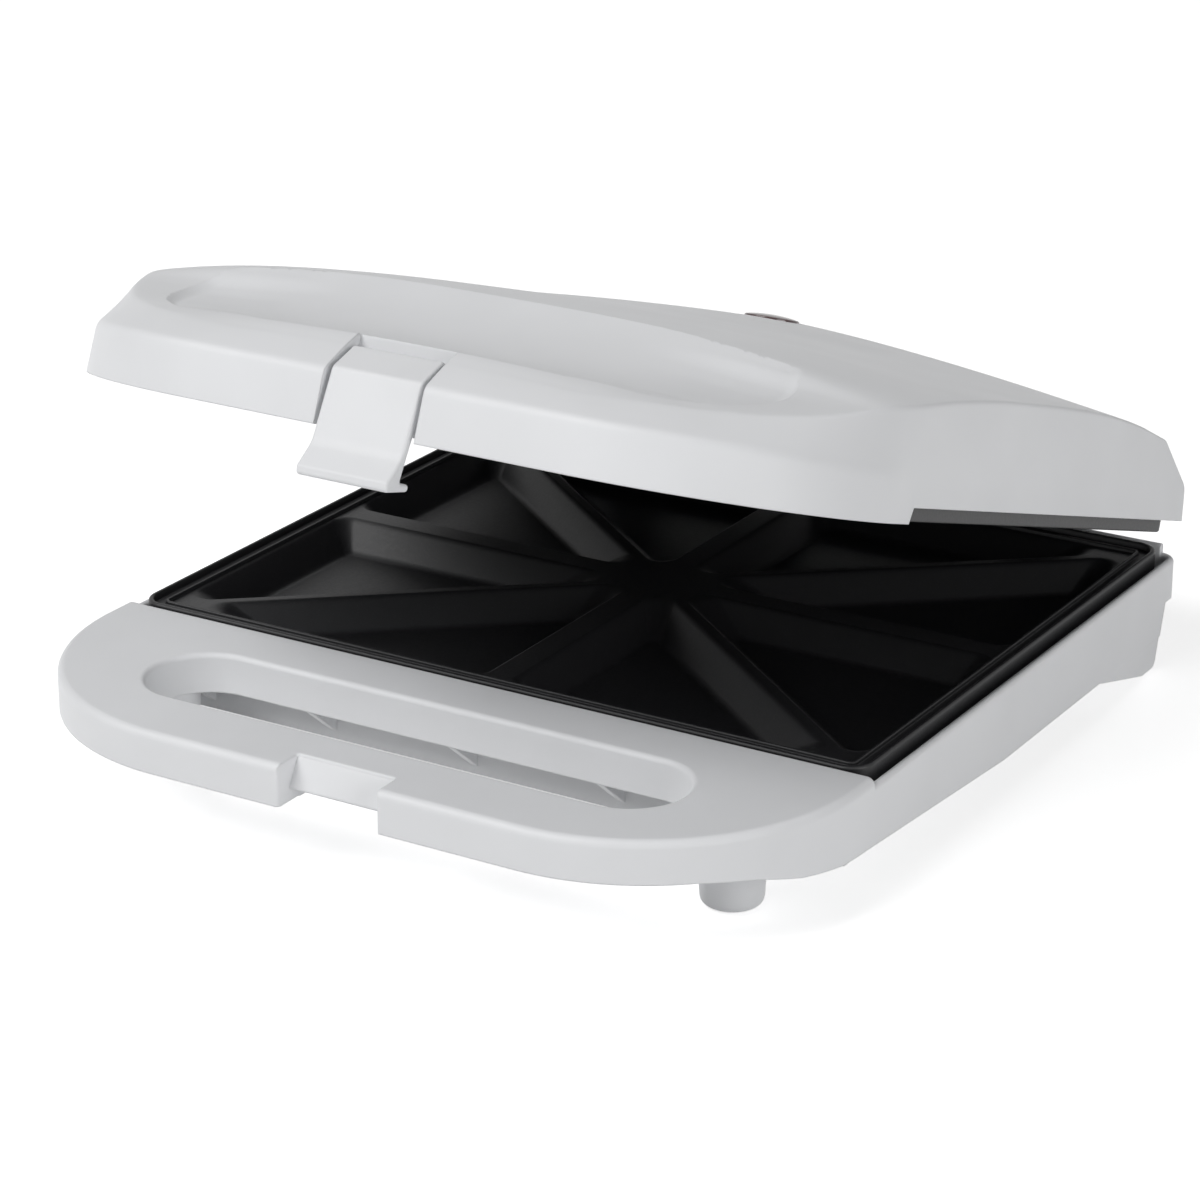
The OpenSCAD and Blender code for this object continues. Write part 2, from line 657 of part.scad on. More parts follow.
// Points round a D outline, the same count for every size
arc_n = 10;
front_n = 12;
side_n = 12;
rear_n = 12;
rear_arc_n = 3;
function arc_pts(cx, cy, r, a0, a1, n) =
  [for (i = [0:n - 1]) [cx + r * cos(a0 + (a1 - a0) * i / n), cy + r * sin(a0 + (a1 - a0) * i / n)]];
function line_pts(a, b, n) = [for (i = [0:n - 1]) a + (b - a) * i / n];
function d_ring(hw, front, rear, r, r2) = concat(
  arc_pts(r - hw, front + r, r, 180, 270, arc_n),
  line_pts([r - hw, front], [hw - r, front], front_n),
  arc_pts(hw - r, front + r, r, 270, 360, arc_n),
  line_pts([hw, front + r], [hw, rear - r2], side_n),
  arc_pts(hw - r2, rear - r2, r2, 0, 90, rear_arc_n),
  line_pts([hw - r2, rear], [r2 - hw, rear], rear_n),
  arc_pts(r2 - hw, rear - r2, r2, 90, 180, rear_arc_n),
  line_pts([-hw, rear - r2], [-hw, front + r], side_n)
);
ring_n = 2 * arc_n + front_n + 2 * side_n + rear_n + 2 * rear_arc_n;
// Lower edge of the lid: level with the handles in front, raised over the plates' rims
function lid_low(y) = lookup(y, [[3, 1.6], [5.5, 6.4]]);
// Top of the lid's outer wall: the chamfer's foot in front and behind, in line with the wall beside
function wall_top(y) = lookup(y, [[-8, 17.2], [-3, 14], [190, 14], [215, 18]]);
mid_x = 0.3;
mid_y = 72;
// A ring between the crease and the middle, t = 0 at the crease
function shrink(ring, t) =
  [for (p = ring) [p.x * (1 - (1 - mid_x) * t), mid_y + (p.y - mid_y) * (1 - t)]];
crease_ring = d_ring(half_w - side_x, 10.2 - lid_reach, lid_rear - 22, corner_r + 5, 5);
function with_top(ring, drop) = [for (p = ring) [p.x, p.y, lid_top(p.x, p.y) - drop]];
outer_steps = [0.92, 0.8, 0.68, 0.58, 0.5, 0.46, 0.43, 0.4, 0.37, 0.33, 0.29, 0.25, 0.21, 0.17, 0.13,
  0.09, 0.06, 0.035, 0.015, 0];
inner_steps = [0, 0.08, 0.16, 0.26, 0.38, 0.44, 0.55, 0.75, 0.92];
inner_crease = d_ring(half_w - side_x - 3, 13.2 - lid_reach, lid_rear - 24, corner_r + 2, 4);
outer_wall = d_ring(half_w - 0.9, 1 - lid_reach, lid_rear - 0.5, corner_r - 1, small_r);
outer_foot = d_ring(half_w, -lid_reach, lid_rear, corner_r, small_r);
inner_foot = d_ring(half_w - wall, wall - lid_reach, lid_rear - wall, corner_r - wall, small_r - wall);
inner_wall = d_ring(half_w - wall - 0.9, wall + 1 - lid_reach, lid_rear - wall - 0.5, corner_r - wall - 1,
  small_r - wall);
lid_rings = concat(
  [for (t = outer_steps) with_top(shrink(crease_ring, t), 0)],
  [[for (p = outer_wall) [p.x, p.y, wall_top(p.y)]]],
  [[for (p = outer_foot) [p.x, p.y, lid_low(p.y)]]],
  [[for (p = inner_foot) [p.x, p.y, lid_low(p.y)]]],
  [[for (p = inner_wall) [p.x, p.y, wall_top(p.y) - 1.4]]],
  [for (t = inner_steps) with_top(shrink(inner_crease, t), wall)]
);
module lid_skin() {
  count = len(lid_rings);
  points = concat(
    [[0, mid_y, lid_top(0, mid_y)], [0, mid_y, lid_top(0, mid_y) - wall]],
    [for (ring = lid_rings) each ring]
  );
  function at(k, i) = 2 + k * ring_n + i % ring_n;
  polyhedron(points, concat(
    [for (i = [0:ring_n - 1]) [0, at(0, i + 1), at(0, i)]],
    [for (k = [0:count - 2]) for (i = [0:ring_n - 1]) each [
      [at(k, i), at(k, i + 1), at(k + 1, i + 1)],
      [at(k, i), at(k + 1, i + 1), at(k + 1, i)]
    ]],
    [for (i = [0:ring_n - 1]) [1, at(count - 1, i), at(count - 1, i + 1)]]
  ), convexity = 6);
}
// A thin rib with round ends, from one plan point to another
module lid_rib(a, b, z0, z1) {
  hull() {
    translate([a.x, a.y, z0]) cylinder(h = z1 - z0, r = 1, $fn = 8);
    translate([b.x, b.y, z0]) cylinder(h = z1 - z0, r = 1, $fn = 8);
  }
}
module lid_ribs() {
  both_sides() {
    lid_rib([34, -64], [34, -3], 10, 23.4);
    lid_rib([64, -63], [64, -3], 10, 22.6);
    lid_rib([98, -50], [98, -3], 10, 23);
    lid_rib([128, 60], [132.5, 60], 14, 35);
    lid_rib([128, 150], [132.5, 150], 14, 33);
  }
  block([3.8 - half_w, -4, 8], [half_w - 3.8, -1.8, 33]);
}
module lid_shell() {
  color("whitesmoke") on_lid() difference() {
    union() {
      lid_skin();
      lid_ribs();
    }
    block([-recess_half - 2.7, -90, -5], [recess_half + 2.7, -57, 60]);
    post(lens_r + 0.3, 0, lens_y, 30, 60);
    both_sides() for (x = [75.5, 86.5]) rod_y(1.6, x, 215, 230, 12.5);
  }
}

// ---------- lid inside ----------
module plate_straps() {
  color("silver") on_lid() upside_down()
    for (y = strap_spots) difference() {
      union() {
        block([-119.2, y - 7, reflector_top - sheet - 1.2], [119.2, y + 7, reflector_top - sheet]);
        both_sides() block([118.05, y - 7, reflector_top - sheet - 1.2], [119.2, y + 7, -14]);
      }
      post(1.8, 0, y, -30, 0);
    }
}
module spring_clips() {
  color("gray") on_lid() upside_down() both_sides()
    for (y = strap_spots) side_clip(y);
}
// A bent spring leaf between the strap's end and the lid's side wall
module side_clip(y) {
  translate([0, y + 5, 0]) rotate([90, 0, 0]) linear_extrude(10)
    polygon([[119.25, -22], [120.05, -22], [120.05, -15], [126.5, -11], [130, -15.5], [130.9, -15],
      [126.7, -10], [119.25, -14.4]]);
}
// The liner of the latch's recess, flush with the lid round it, with the bores for the latch's pin
module latch_bracket() {
  cheek = concat(
    [[-57.2, 2], [-57.2, lid_top(18.5, -57.2)]],
    [for (y = [-59:-1.5:-66.5]) [y, lid_top(18.5, y)]],
    [[10.1 - lid_reach, lid_top(18.5, 10.2 - lid_reach)], [1 - lid_reach, 17.1], [0.1 - lid_reach, 2]]
  );
  color("whitesmoke") on_lid() difference() {
    union() {
      for (x0 = [-recess_half - 2.5, recess_half]) side_profile(cheek, x0, x0 + 2.5);
      side_profile([
        [-59.6, lid_top(0, -59.6)], [-57.2, lid_top(0, -57.2)], [-57.2, 6], [-64, 2], [-70, 2],
        [-59.6, 8]
      ], -recess_half - 1, recess_half + 1);
    }
    rod_x(latch_pin_r + 0.02, -25, 25, latch_pin_y, latch_pin_z);
  }
}
module latch_pin() {
  color("silver") on_lid() rod_x(latch_pin_r, -19.7, 19.7, latch_pin_y, latch_pin_z);
}
module indicator_lens() {
  z0 = lid_top(0, lens_y);
  color([0.3, 0.05, 0.04]) on_lid() translate([0, lens_y, 0]) {
    translate([0, 0, z0 - 4.6]) cylinder(h = 4.9, r = lens_r, $fn = 64);
    translate([0, 0, z0 + 0.2]) scale([1, 1, 0.14]) sphere(r = lens_r - 0.5, $fn = 48);
  }
}
lamp_x = 4.7;
module lamp_holder() {
  z0 = lid_top(0, lens_y);
  color("white") on_lid() difference() {
    union() {
      block([-16, lens_y - 9, z0 - 20], [16, lens_y + 9, z0 - 18]);
      for (side = [-1, 1]) post(4.2, side * lamp_x, lens_y, z0 - 18.5, z0 - 12);
      for (side = [-1, 1]) block([side * 14.8 - 1.2, lens_y - 5, z0 - 18.5],
        [side * 14.8 + 1.2, lens_y + 5, z0 - 3.9]);
    }
    for (side = [-1, 1]) post(2.9, side * lamp_x, lens_y, z0 - 25, z0);
  }
}
module indicator_lamps() {
  z0 = lid_top(0, lens_y);
  color("orange") on_lid() for (side = [-1, 1]) {
    post(2.6, side * lamp_x, lens_y, z0 - 17, z0 - 8.6);
    translate([side * lamp_x, lens_y, z0 - 8.6]) sphere(r = 2.6, $fn = 32);
    post(0.4, side * lamp_x, lens_y, z0 - 21.5, z0 - 16);
  }
}
module lid_leads() {
  z0 = lid_top(0, lens_y);
  color("firebrick") on_lid() {
    for (side = [-1, 1])
      wire(spline([[side * lamp_x, lens_y, z0 - 22.6], [side * 6, lens_y + 5, z0 - 22.9],
        [side * 10, 175, 27.6], [side * 15, 188, 27.4], [side * 20, 198, 26],
        [side * 22, 203.5, 23.6], [side * 22, 204, 20.6]], 3), 0.9);
  }
}

// ---------- latch ----------
module latch_clip() {
  color("whitesmoke") on_lid() difference() {
    union() {
      side_profile([
        [-64.6, 25.8], [-74.2, 19.2], [-75.2, 16.5], [-80.6, -7], [-84.2, -9.6], [-84.6, -11],
        [-83.6, -12.4], [-80.2, -12.8], [-73.6, -12.3], [-73.3, -10.4], [-78.2, -10.1],
        [-77.7, -7.6], [-72.6, 14.6], [-70.4, 17], [-62.9, 23.4]
      ], -latch_half, latch_half);
      rod_x(3.1, -latch_half, latch_half, latch_pin_y, latch_pin_z);
    }
    rod_x(latch_pin_r + 0.05, -20, 20, latch_pin_y, latch_pin_z);
  }
}

base_housing();
foot_pads();
service_cover();
service_cover_screws();
lower_plate();
lower_plate_screws();
lower_reflector();
lower_element();
lower_element_ceramics();
lower_element_clamps();
lower_clamp_screws();
thermostat();
thermal_fuse();
terminal_block();
cord_bushing();
base_leads();
hinge_pins();
hinge_pin_clips();
lid_shell();
hinge_knuckles();
hinge_knuckle_screws();
upper_plate();
upper_plate_screws();
upper_reflector();
upper_element();
upper_element_ceramics();
upper_element_clamps();
upper_clamp_screws();
plate_straps();
spring_clips();
latch_bracket();
latch_pin();
indicator_lens();
lamp_holder();
indicator_lamps();
lid_leads();
latch_clip();
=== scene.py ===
"""Looks of a four-slice sandwich toaster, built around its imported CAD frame.

Lengths inside the classes are millimetres in the drawing frame of the housings: x to the right, y = 0 at
the front edge of the cooking plates, z = 0 at the top of the lower handle, with the lid closed. The Frame
class moves them to the row's frame in metres, and turns the lid's pieces to the stored, part-open pose.
"""

import logging
import math
from collections.abc import Callable
from dataclasses import dataclass, field
from enum import Enum

import bmesh
import bpy
import numpy as np
from mathutils import Matrix, Vector

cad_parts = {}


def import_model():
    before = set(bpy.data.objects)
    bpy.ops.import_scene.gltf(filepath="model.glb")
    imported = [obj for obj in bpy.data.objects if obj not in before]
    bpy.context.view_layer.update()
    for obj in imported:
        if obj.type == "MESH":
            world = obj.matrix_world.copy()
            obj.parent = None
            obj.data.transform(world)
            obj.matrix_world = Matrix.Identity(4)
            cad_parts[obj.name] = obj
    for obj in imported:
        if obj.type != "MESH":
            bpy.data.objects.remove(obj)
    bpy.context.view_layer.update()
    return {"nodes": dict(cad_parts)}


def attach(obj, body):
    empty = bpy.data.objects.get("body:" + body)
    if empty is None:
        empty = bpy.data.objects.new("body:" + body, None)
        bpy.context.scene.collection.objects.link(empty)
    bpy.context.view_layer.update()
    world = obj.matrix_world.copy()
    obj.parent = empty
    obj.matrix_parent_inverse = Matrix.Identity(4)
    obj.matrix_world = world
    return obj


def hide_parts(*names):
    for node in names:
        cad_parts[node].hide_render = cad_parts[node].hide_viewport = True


LOG = logging.getLogger("sandwich_toaster")
MM = 0.001
SIDES = (-1, 1)  # left and right, for what stands on both sides


class Body(Enum):
    """The toaster's three bodies."""

    BASE = "base"
    LID = "lid"
    LATCH = "latch"


class Axis(Enum):
    """The drawing axis a solid is raised or turned along, with the order its columns take."""

    X = (2, 0, 1)
    Y = (1, 2, 0)
    Z = (0, 1, 2)


class Join(Enum):
    """How one solid is applied to another."""

    CUT = "DIFFERENCE"
    WELD = "UNION"


# ---------------------------------------------------------------- frame and shared places


@dataclass(frozen=True)
class Frame:
    """The drawing frame and the way from it to the row's frame."""

    hinge_y: float = 229.3
    hinge_z: float = -2.2
    lid_open: float = 18.5
    stand_h: float = 38.5
    handle_reach: float = 83.0
    barrel_r: float = 5.5
    knuckle_high: float = 5.0
    mirror_z: float = 1.3  # the upper half's plate and element are the lower half's, mirrored here

    @property
    def frame_y(self) -> float:
        """Find the row's origin, half-way along the toaster's depth.

        Returns:
            Its distance behind the plates' front edge.
        """
        a = math.radians(self.lid_open)
        rear = self.hinge_y + self.barrel_r * math.cos(a) + self.knuckle_high * math.sin(a)
        return (rear - self.handle_reach) / 2

    def matrix(self, opened: bool) -> Matrix:
        """Matrix from drawing millimetres to the row's metres.

        Args:
            opened: True for pieces of the lid, which stand part-open at rest.

        Returns:
            The 4 x 4 matrix.
        """
        move = Matrix.Translation(Vector((0, -self.frame_y, self.stand_h)))
        turn = Matrix.Identity(4)
        if opened:
            pin = Matrix.Translation(Vector((0, self.hinge_y, self.hinge_z)))
            turn = pin @ Matrix.Rotation(-math.radians(self.lid_open), 4, "X") @ pin.inverted()
        return Matrix.Scale(MM, 4) @ move @ turn

    def turned_over(self, points: list) -> list:
        """Points of the lower half, mirrored into the lid."""
        return [(x, y, 2 * self.mirror_z - z) for x, y, z in points]


@dataclass(frozen=True)
class Spots:
    """Places where pieces of different classes meet."""

    plate_screws: tuple = ((0, 52), (0, 172), (-90, 109), (90, 109))
    clamp_screws: tuple = ((63, 80), (63, 140), (-63, 80), (-63, 140))
    cover_screws: tuple = ((-27, 193.5), (27, 193.5))
    cover_y: float = 193.5
    knuckle_screws: tuple = (75.5, 86.5)
    knuckle_screw_z: float = 12.5
    inlet_z: float = -14.0
    lens: tuple = (0, 163.0, 50.5)


FRAME = Frame()
SPOTS = Spots()


# ---------------------------------------------------------------- meshes


def linked(name: str, data: bpy.types.ID) -> bpy.types.Object:
    """Put a new object into the scene.

    Args:
        name: Its name.
        data: Its mesh, lamp or camera.

    Returns:
        The object.
    """
    made = bpy.data.objects.new(name, data)
    bpy.context.scene.collection.objects.link(made)
    return made


def new_object(name: str, points: np.ndarray, faces: list, opened: bool = False) -> bpy.types.Object:
    """Make a mesh object from points in drawing millimetres.

    Args:
        name: Name of the object and its mesh.
        points: Array of x, y, z rows.
        faces: Lists of point indices, counter-clockwise from outside.
        opened: True for pieces of the lid.

    Returns:
        The new object, linked to the scene.
    """
    mesh = bpy.data.meshes.new(name)
    mesh.from_pydata([tuple(p) for p in points], [], faces)
    mesh.transform(FRAME.matrix(opened))
    mesh.update()
    return linked(name, mesh)


def rename(made: bpy.types.Object, name: str) -> None:
    """Name an object and its mesh."""
    made.name = made.data.name = name


def bake_modifiers(made: bpy.types.Object) -> None:
    """Turn an object's modifiers into plain mesh.

    Args:
        made: The object.
    """
    graph = bpy.context.evaluated_depsgraph_get()
    mesh = bpy.data.meshes.new_from_object(made.evaluated_get(graph))
    made.modifiers.clear()
    made.data = mesh


def apply_solid(made: bpy.types.Object, tool: bpy.types.Object, how: Join) -> None:
    """Apply one solid to another and drop the tool.

    Args:
        made: The solid that is changed.
        tool: The solid that cuts it or is joined to it.
        how: Whether it cuts or joins.
    """
    step = made.modifiers.new("apply", "BOOLEAN")
    step.operation = how.value
    step.solver = "MANIFOLD"
    step.object = tool
    bake_modifiers(made)
    bpy.data.objects.remove(tool)


def cut(made: bpy.types.Object, tool: bpy.types.Object) -> None:
    """Cut a solid out of another."""
    apply_solid(made, tool, Join.CUT)


def weld(made: bpy.types.Object, tool: bpy.types.Object) -> None:
    """Join a solid to another."""
    apply_solid(made, tool, Join.WELD)


def span(side: int, a: float, b: float) -> tuple[float, float]:
    """The x of both ends of a span drawn on the right, for side 1, or of its image on the left, for -1."""
    return min(side * a, side * b), max(side * a, side * b)


def arc(centre: tuple, r: float, first: float, last: float, count: int) -> list:
    """Points round a centre, from one angle to another in degrees."""
    return [(centre[0] + r * math.cos(a), centre[1] + r * math.sin(a))
            for a in np.radians(np.linspace(first, last, count))]


def skin(rings: list, hollow: bool = False, tips: tuple = (None, None)) -> tuple[np.ndarray, list]:
    """Skin closed rings of equal count into a solid.

    Args:
        rings: Arrays of points, from below and counter-clockwise.
        hollow: True joins the last ring to the first, as for a wall that runs all round.
        tips: Points that the first and the last ring are drawn to, or None for a flat end.

    Returns:
        The points and the faces.
    """
    n, count = len(rings[0]), len(rings)
    faces = []
    for k in range(count if hollow else count - 1):
        a, b = k * n, (k + 1) % count * n
        faces += [[a + i, a + (i + 1) % n, b + (i + 1) % n, b + i] for i in range(n)]
    points = list(rings)
    top = count * n
    for first, tip in ((0, tips[0]), (top - n, tips[1])):
        rim = list(range(first, first + n))
        if first == 0:
            rim.reverse()
        if tip is not None:
            points.append([tip])
            faces += [[rim[i], rim[(i + 1) % n], top] for i in range(n)]
            top += 1
        elif not hollow:
            faces.append(rim)
    return np.concatenate(points), faces


def block(name: str, low: tuple, high: tuple, opened: bool = False) -> bpy.types.Object:
    """A block between two corners.

    Args:
        name: Name of the object.
        low: Lowest x, y and z.
        high: Highest x, y and z.
        opened: True for pieces of the lid.

    Returns:
        The block.
    """
    ends = (low, high)
    points = np.array([[ends[i][0], ends[j][1], ends[k][2]]
                       for k in (0, 1) for j in (0, 1) for i in (0, 1)], float)
    faces = [[0, 2, 3, 1], [4, 5, 7, 6], [0, 1, 5, 4], [1, 3, 7, 5], [3, 2, 6, 7], [2, 0, 4, 6]]
    return new_object(name, points, faces, opened)


def side_profile(name: str, outline: list, x0: float, x1: float, opened: bool = False) -> bpy.types.Object:
    """A solid drawn across the toaster from a side profile.

    Args:
        name: Name of the object.
        outline: The profile's y and z points, in order.
        x0: Left end.
        x1: Right end.
        opened: True for pieces of the lid.

    Returns:
        The solid.
    """
    area = sum(a[0] * b[1] - b[0] * a[1] for a, b in zip(outline, outline[1:] + outline[:1]))
    if area < 0:
        outline = outline[::-1]
    points, faces = skin([np.array([(x, y, z) for y, z in outline], float) for x in (x0, x1)])
    return new_object(name, points, faces, opened)


@dataclass
class Plan:
    """A flat outline with rounded corners, and the outlines that run beside it at a distance.

    Every outline of one plan has the same count of points, so outlines at several heights can be skinned.
    """

    corners: list
    radii: list
    steps: int = 10

    def ring(self, out: float = 0.0) -> np.ndarray:
        """Points of the outline, moved outwards.

        Args:
            out: How far outside the plan the outline runs, negative for inside.

        Returns:
            The x and y of every point, once round, counter-clockwise.
        """
        p = np.array(self.corners, float)
        rows = []
        for i, r in enumerate(self.radii):
            before, after = p[i] - p[i - 1], p[(i + 1) % len(p)] - p[i]
            before, after = before / np.linalg.norm(before), after / np.linalg.norm(after)
            side = 1.0 if before[0] * after[1] - before[1] * after[0] > 0 else -1.0
            n0, n1 = np.array([before[1], -before[0]]), np.array([after[1], -after[0]])
            centre = p[i] - side * (n0 + n1) * r / (1 + n0 @ n1)
            a0 = math.atan2(n0[1], n0[0])
            turn = math.atan2(n0[0] * n1[1] - n0[1] * n1[0], n0 @ n1)
            for t in np.linspace(0, 1, self.steps + 1):
                n = np.array([math.cos(a0 + turn * t), math.sin(a0 + turn * t)])
                rows.append(centre + side * (r + side * out) * n)
        return np.array(rows)

    def stack(self, name: str, levels: list, opened: bool = False, hollow: bool = False,
              axis: Axis = Axis.Z) -> bpy.types.Object:
        """A solid skinned over the plan's outlines.

        Args:
            name: Name of the object.
            levels: Pairs of distance outside the plan and height, from below and outside.
            opened: True for pieces of the lid.
            hollow: True joins the last level to the first, as for a wall that runs all round.
            axis: The axis the heights run along: Z, or X for a plan given in y and z.

        Returns:
            The solid.
        """
        rings = []
        for out, z in levels:
            flat = self.ring(out)
            rings.append(np.column_stack([flat, np.full(len(flat), z)]))
        points, faces = skin(rings, hollow)
        return new_object(name, points[:, axis.value], faces, opened)


def rectangle(half_w: float, y0: float, y1: float, r: float, rear_r: float | None = None,
              steps: int = 10) -> Plan:
    """A plan of a rectangle centred on the toaster's middle, with rounded corners."""
    rear = r if rear_r is None else rear_r
    return Plan([(-half_w, y0), (half_w, y0), (half_w, y1), (-half_w, y1)], [r, r, rear, rear], steps)


def lathe(name: str, profile: list, centre: tuple, opened: bool = False, sides: int = 72,
          axis: Axis = Axis.Z) -> bpy.types.Object:
    """A turned solid.

    Args:
        name: Name of the object.
        profile: Radius and height of each ring, upwards along the outside; a first or last radius of 0
            makes a tip.
        centre: Drawing x, y and z that height 0 stands at.
        opened: True for pieces of the lid.
        sides: Points round.
        axis: The axis it is turned about.

    Returns:
        The solid.
    """
    turn = np.linspace(0, 2 * math.pi, sides, endpoint=False)
    rings = [np.column_stack([r * np.cos(turn), r * np.sin(turn), np.full(sides, h)])
             for r, h in profile if r > 0]
    tips = [None if r > 0 else [0, 0, h] for r, h in (profile[0], profile[-1])]
    points, faces = skin(rings, tips=tuple(tips))
    return new_object(name, points[:, axis.value] + np.array(centre, float), faces, opened)


def post(name: str, r: float, place: tuple, z0: float, z1: float, sides: int = 96,
         opened: bool = False) -> bpy.types.Object:
    """A round post along z, or the tool for a round hole, at a place given by x and y."""
    return lathe(name, [(r, z0), (r, z1)], (*place, 0), opened, sides)


def knob(r: float, wide: float) -> list:
    """The profile of a short barrel with chamfered rims, for lathe."""
    return [(r - 0.5, 0), (r, 0.5), (r, wide - 0.5), (r - 0.5, wide)]


def round_rims(made: bpy.types.Object, width: float) -> None:
    """Round the sharp rims of a solid.

    Args:
        made: The solid.
        width: How wide the rounding is, in millimetres.
    """
    step = made.modifiers.new("rims", "BEVEL")
    step.width = width * MM
    step.segments = 3
    step.limit_method = "ANGLE"
    step.angle_limit = math.radians(60)
    bake_modifiers(made)


def soften(made: bpy.types.Object, angle: float) -> None:
    """Shade a mesh smooth except at its sharp edges.

    Args:
        made: The piece.
        angle: The angle in degrees past which an edge stays sharp.
    """
    mesh = made.data
    mesh.shade_smooth()
    work = bmesh.new()
    work.from_mesh(mesh)
    limit = math.radians(angle)
    for edge in work.edges:
        edge.smooth = len(edge.link_faces) == 2 and edge.calc_face_angle(0.0) < limit
    work.to_mesh(mesh)
    work.free()


def finish_normals(made: bpy.types.Object, angle: float = 32.0) -> None:
    """Shade a piece so that its large faces stay flat and its roundings take the turn.

    Args:
        made: The piece.
        angle: The angle in degrees past which an edge stays sharp.
    """
    soften(made, angle)
    step = made.modifiers.new("weights", "WEIGHTED_NORMAL")
    step.mode = "FACE_AREA_WITH_ANGLE"
    step.keep_sharp = True
    step.weight = 80
    bake_modifiers(made)


def joined(name: str, pieces: list) -> bpy.types.Object:
    """Gather separate solids into one mesh.

    Args:
        name: Name of the object and its mesh.
        pieces: The solids, which are dropped.

    Returns:
        The new object.
    """
    work = bmesh.new()
    for piece in pieces:
        work.from_mesh(piece.data)
        bpy.data.objects.remove(piece)
    mesh = bpy.data.meshes.new(name)
    work.to_mesh(mesh)
    work.free()
    return linked(name, mesh)


# ---------------------------------------------------------------- nodes and finishes


def add_node(tree: bpy.types.NodeTree, kind: str, settings: dict | str | None = None, *values: object,
             **inputs: object) -> bpy.types.Node:
    """Add a node with its settings and links.

    Args:
        tree: The tree it goes into.
        kind: The node's type name.
        settings: Attributes to set on the node, or the name of its operation alone. A colour ramp's are its
            stops, pairs of place and colour.
        values: What goes into its inputs, in order: a number, a colour, a socket, a node for its first
            output, or a list of these for an input that takes several.
        inputs: The same for inputs by name, with _ for a space.

    Returns:
        The node.
    """
    node = tree.nodes.new(kind)
    settings = {"operation": settings} if isinstance(settings, str) else dict(settings or {})
    for k, stop in enumerate(settings.pop("stops", ())):
        node.color_ramp.elements[k].position, node.color_ramp.elements[k].color = stop
    for key, value in settings.items():
        setattr(node, key, value)
    named = [(node.inputs[key.replace("_", " ")], value) for key, value in inputs.items()]
    for socket, value in [*zip(node.inputs, values), *named]:
        for part in value if isinstance(value, list) else [value]:
            if isinstance(part, bpy.types.Node):
                part = part.outputs[0]
            if isinstance(part, bpy.types.NodeSocket):
                tree.links.new(part, socket)
            else:
                socket.default_value = part
    return node


def linear(code: str, gain: float = 1.0) -> tuple[float, float, float, float]:
    """Turn a colour written as sRGB hex into linear light.

    Args:
        code: The colour, as #rrggbb.
        gain: What its light is multiplied by, to make it darker or lighter.

    Returns:
        Red, green, blue and a full alpha.
    """
    parts = [int(code[i:i + 2], 16) / 255 for i in (1, 3, 5)]
    parts = [p / 12.92 if p <= 0.04045 else ((p + 0.055) / 1.055) ** 2.4 for p in parts]
    return (*[min(1.0, p * gain) for p in parts], 1.0)


class Material:
    """A node material that reads the object's own coordinates."""

    def __init__(self, name: str) -> None:
        """Start an empty material.

        Args:
            name: Its name.
        """
        self.made = bpy.data.materials.new(name)
        self.made.use_nodes = True
        self.made.node_tree.nodes.clear()
        self.place = self.add("ShaderNodeTexCoord").outputs["Object"]

    def add(self, kind: str, settings: dict | str | None = None, *values: object,
            **inputs: object) -> bpy.types.Node:
        """Add a node to the material, as add_node does."""
        return add_node(self.made.node_tree, kind, settings, *values, **inputs)

    def grained(self, size_mm: float, detail: float, stops: list | None = None,
                rough: float = 0.5) -> tuple[bpy.types.Node, bpy.types.Node | None]:
        """A noise pattern, and the colours it gives.

        Args:
            size_mm: What its largest grain measures.
            detail: How many finer grains lie in it.
            stops: Pairs of place and linear colour, for a pattern that colours the surface.
            rough: How strong the finer grains are.

        Returns:
            The pattern and, where there are stops, the colour.
        """
        noise = self.add("ShaderNodeTexNoise", None, self.place, Scale=1 / (size_mm * MM), Detail=detail,
                         Roughness=rough)
        return noise, self.add("ShaderNodeValToRGB", {"stops": stops}, noise) if stops else None

    def relief(self, height: bpy.types.Node, depth_mm: float, edge_mm: float) -> bpy.types.Node:
        """The normal of a surface with a pattern pressed into it and its sharp edges rounded.

        Args:
            height: The pattern, from 0 to 1.
            depth_mm: What a height of 1 measures.
            edge_mm: Radius of the rounding of sharp edges.

        Returns:
            The node that gives the normal.
        """
        rounded = self.add("ShaderNodeBevel", {"samples": 6}, edge_mm * MM)
        return self.add("ShaderNodeBump", Height=height, Strength=1.0, Distance=depth_mm * MM, Normal=rounded)

    def shaded(self, **inputs: object) -> bpy.types.Material:
        """Close the material with a Principled shader.

        Args:
            inputs: The shader's inputs, as for add_node.

        Returns:
            The Blender material.
        """
        shader = self.add("ShaderNodeBsdfPrincipled", **inputs)
        self.add("ShaderNodeOutputMaterial", Surface=shader)
        return self.made


@dataclass(frozen=True)
class MouldedPlastic:
    """Injection-moulded ABS.

    A glossy polymer skin: even colour, a soft highlight and slightly rounded moulded edges.
    """

    name: str
    colour: str
    roughness: float = 0.42
    edge_mm: float = 0.8
    grain_mm: float = 0.5  # a mould's polish is finer than this, which is as fine as the render shows
    sink_mm: float = 26.0  # the broad, faint unevenness of a wall that shrank as it cooled

    def make(self) -> bpy.types.Material:
        """Build the material.

        Returns:
            The Blender material.
        """
        m = Material(self.name)
        stops = [(0.3, linear(self.colour)), (0.7, linear(self.colour, 0.975))]
        sink, colour = m.grained(self.sink_mm, 1.5, stops)
        blur = m.add("ShaderNodeMapRange", Value=sink, To_Min=self.roughness - 0.03, To_Max=self.roughness + 0.03)
        normal = m.relief(m.grained(self.grain_mm, 3)[0], 0.004, self.edge_mm)
        return m.shaded(Base_Color=colour, Roughness=blur, IOR=1.49, Specular_IOR_Level=0.3, Normal=normal)


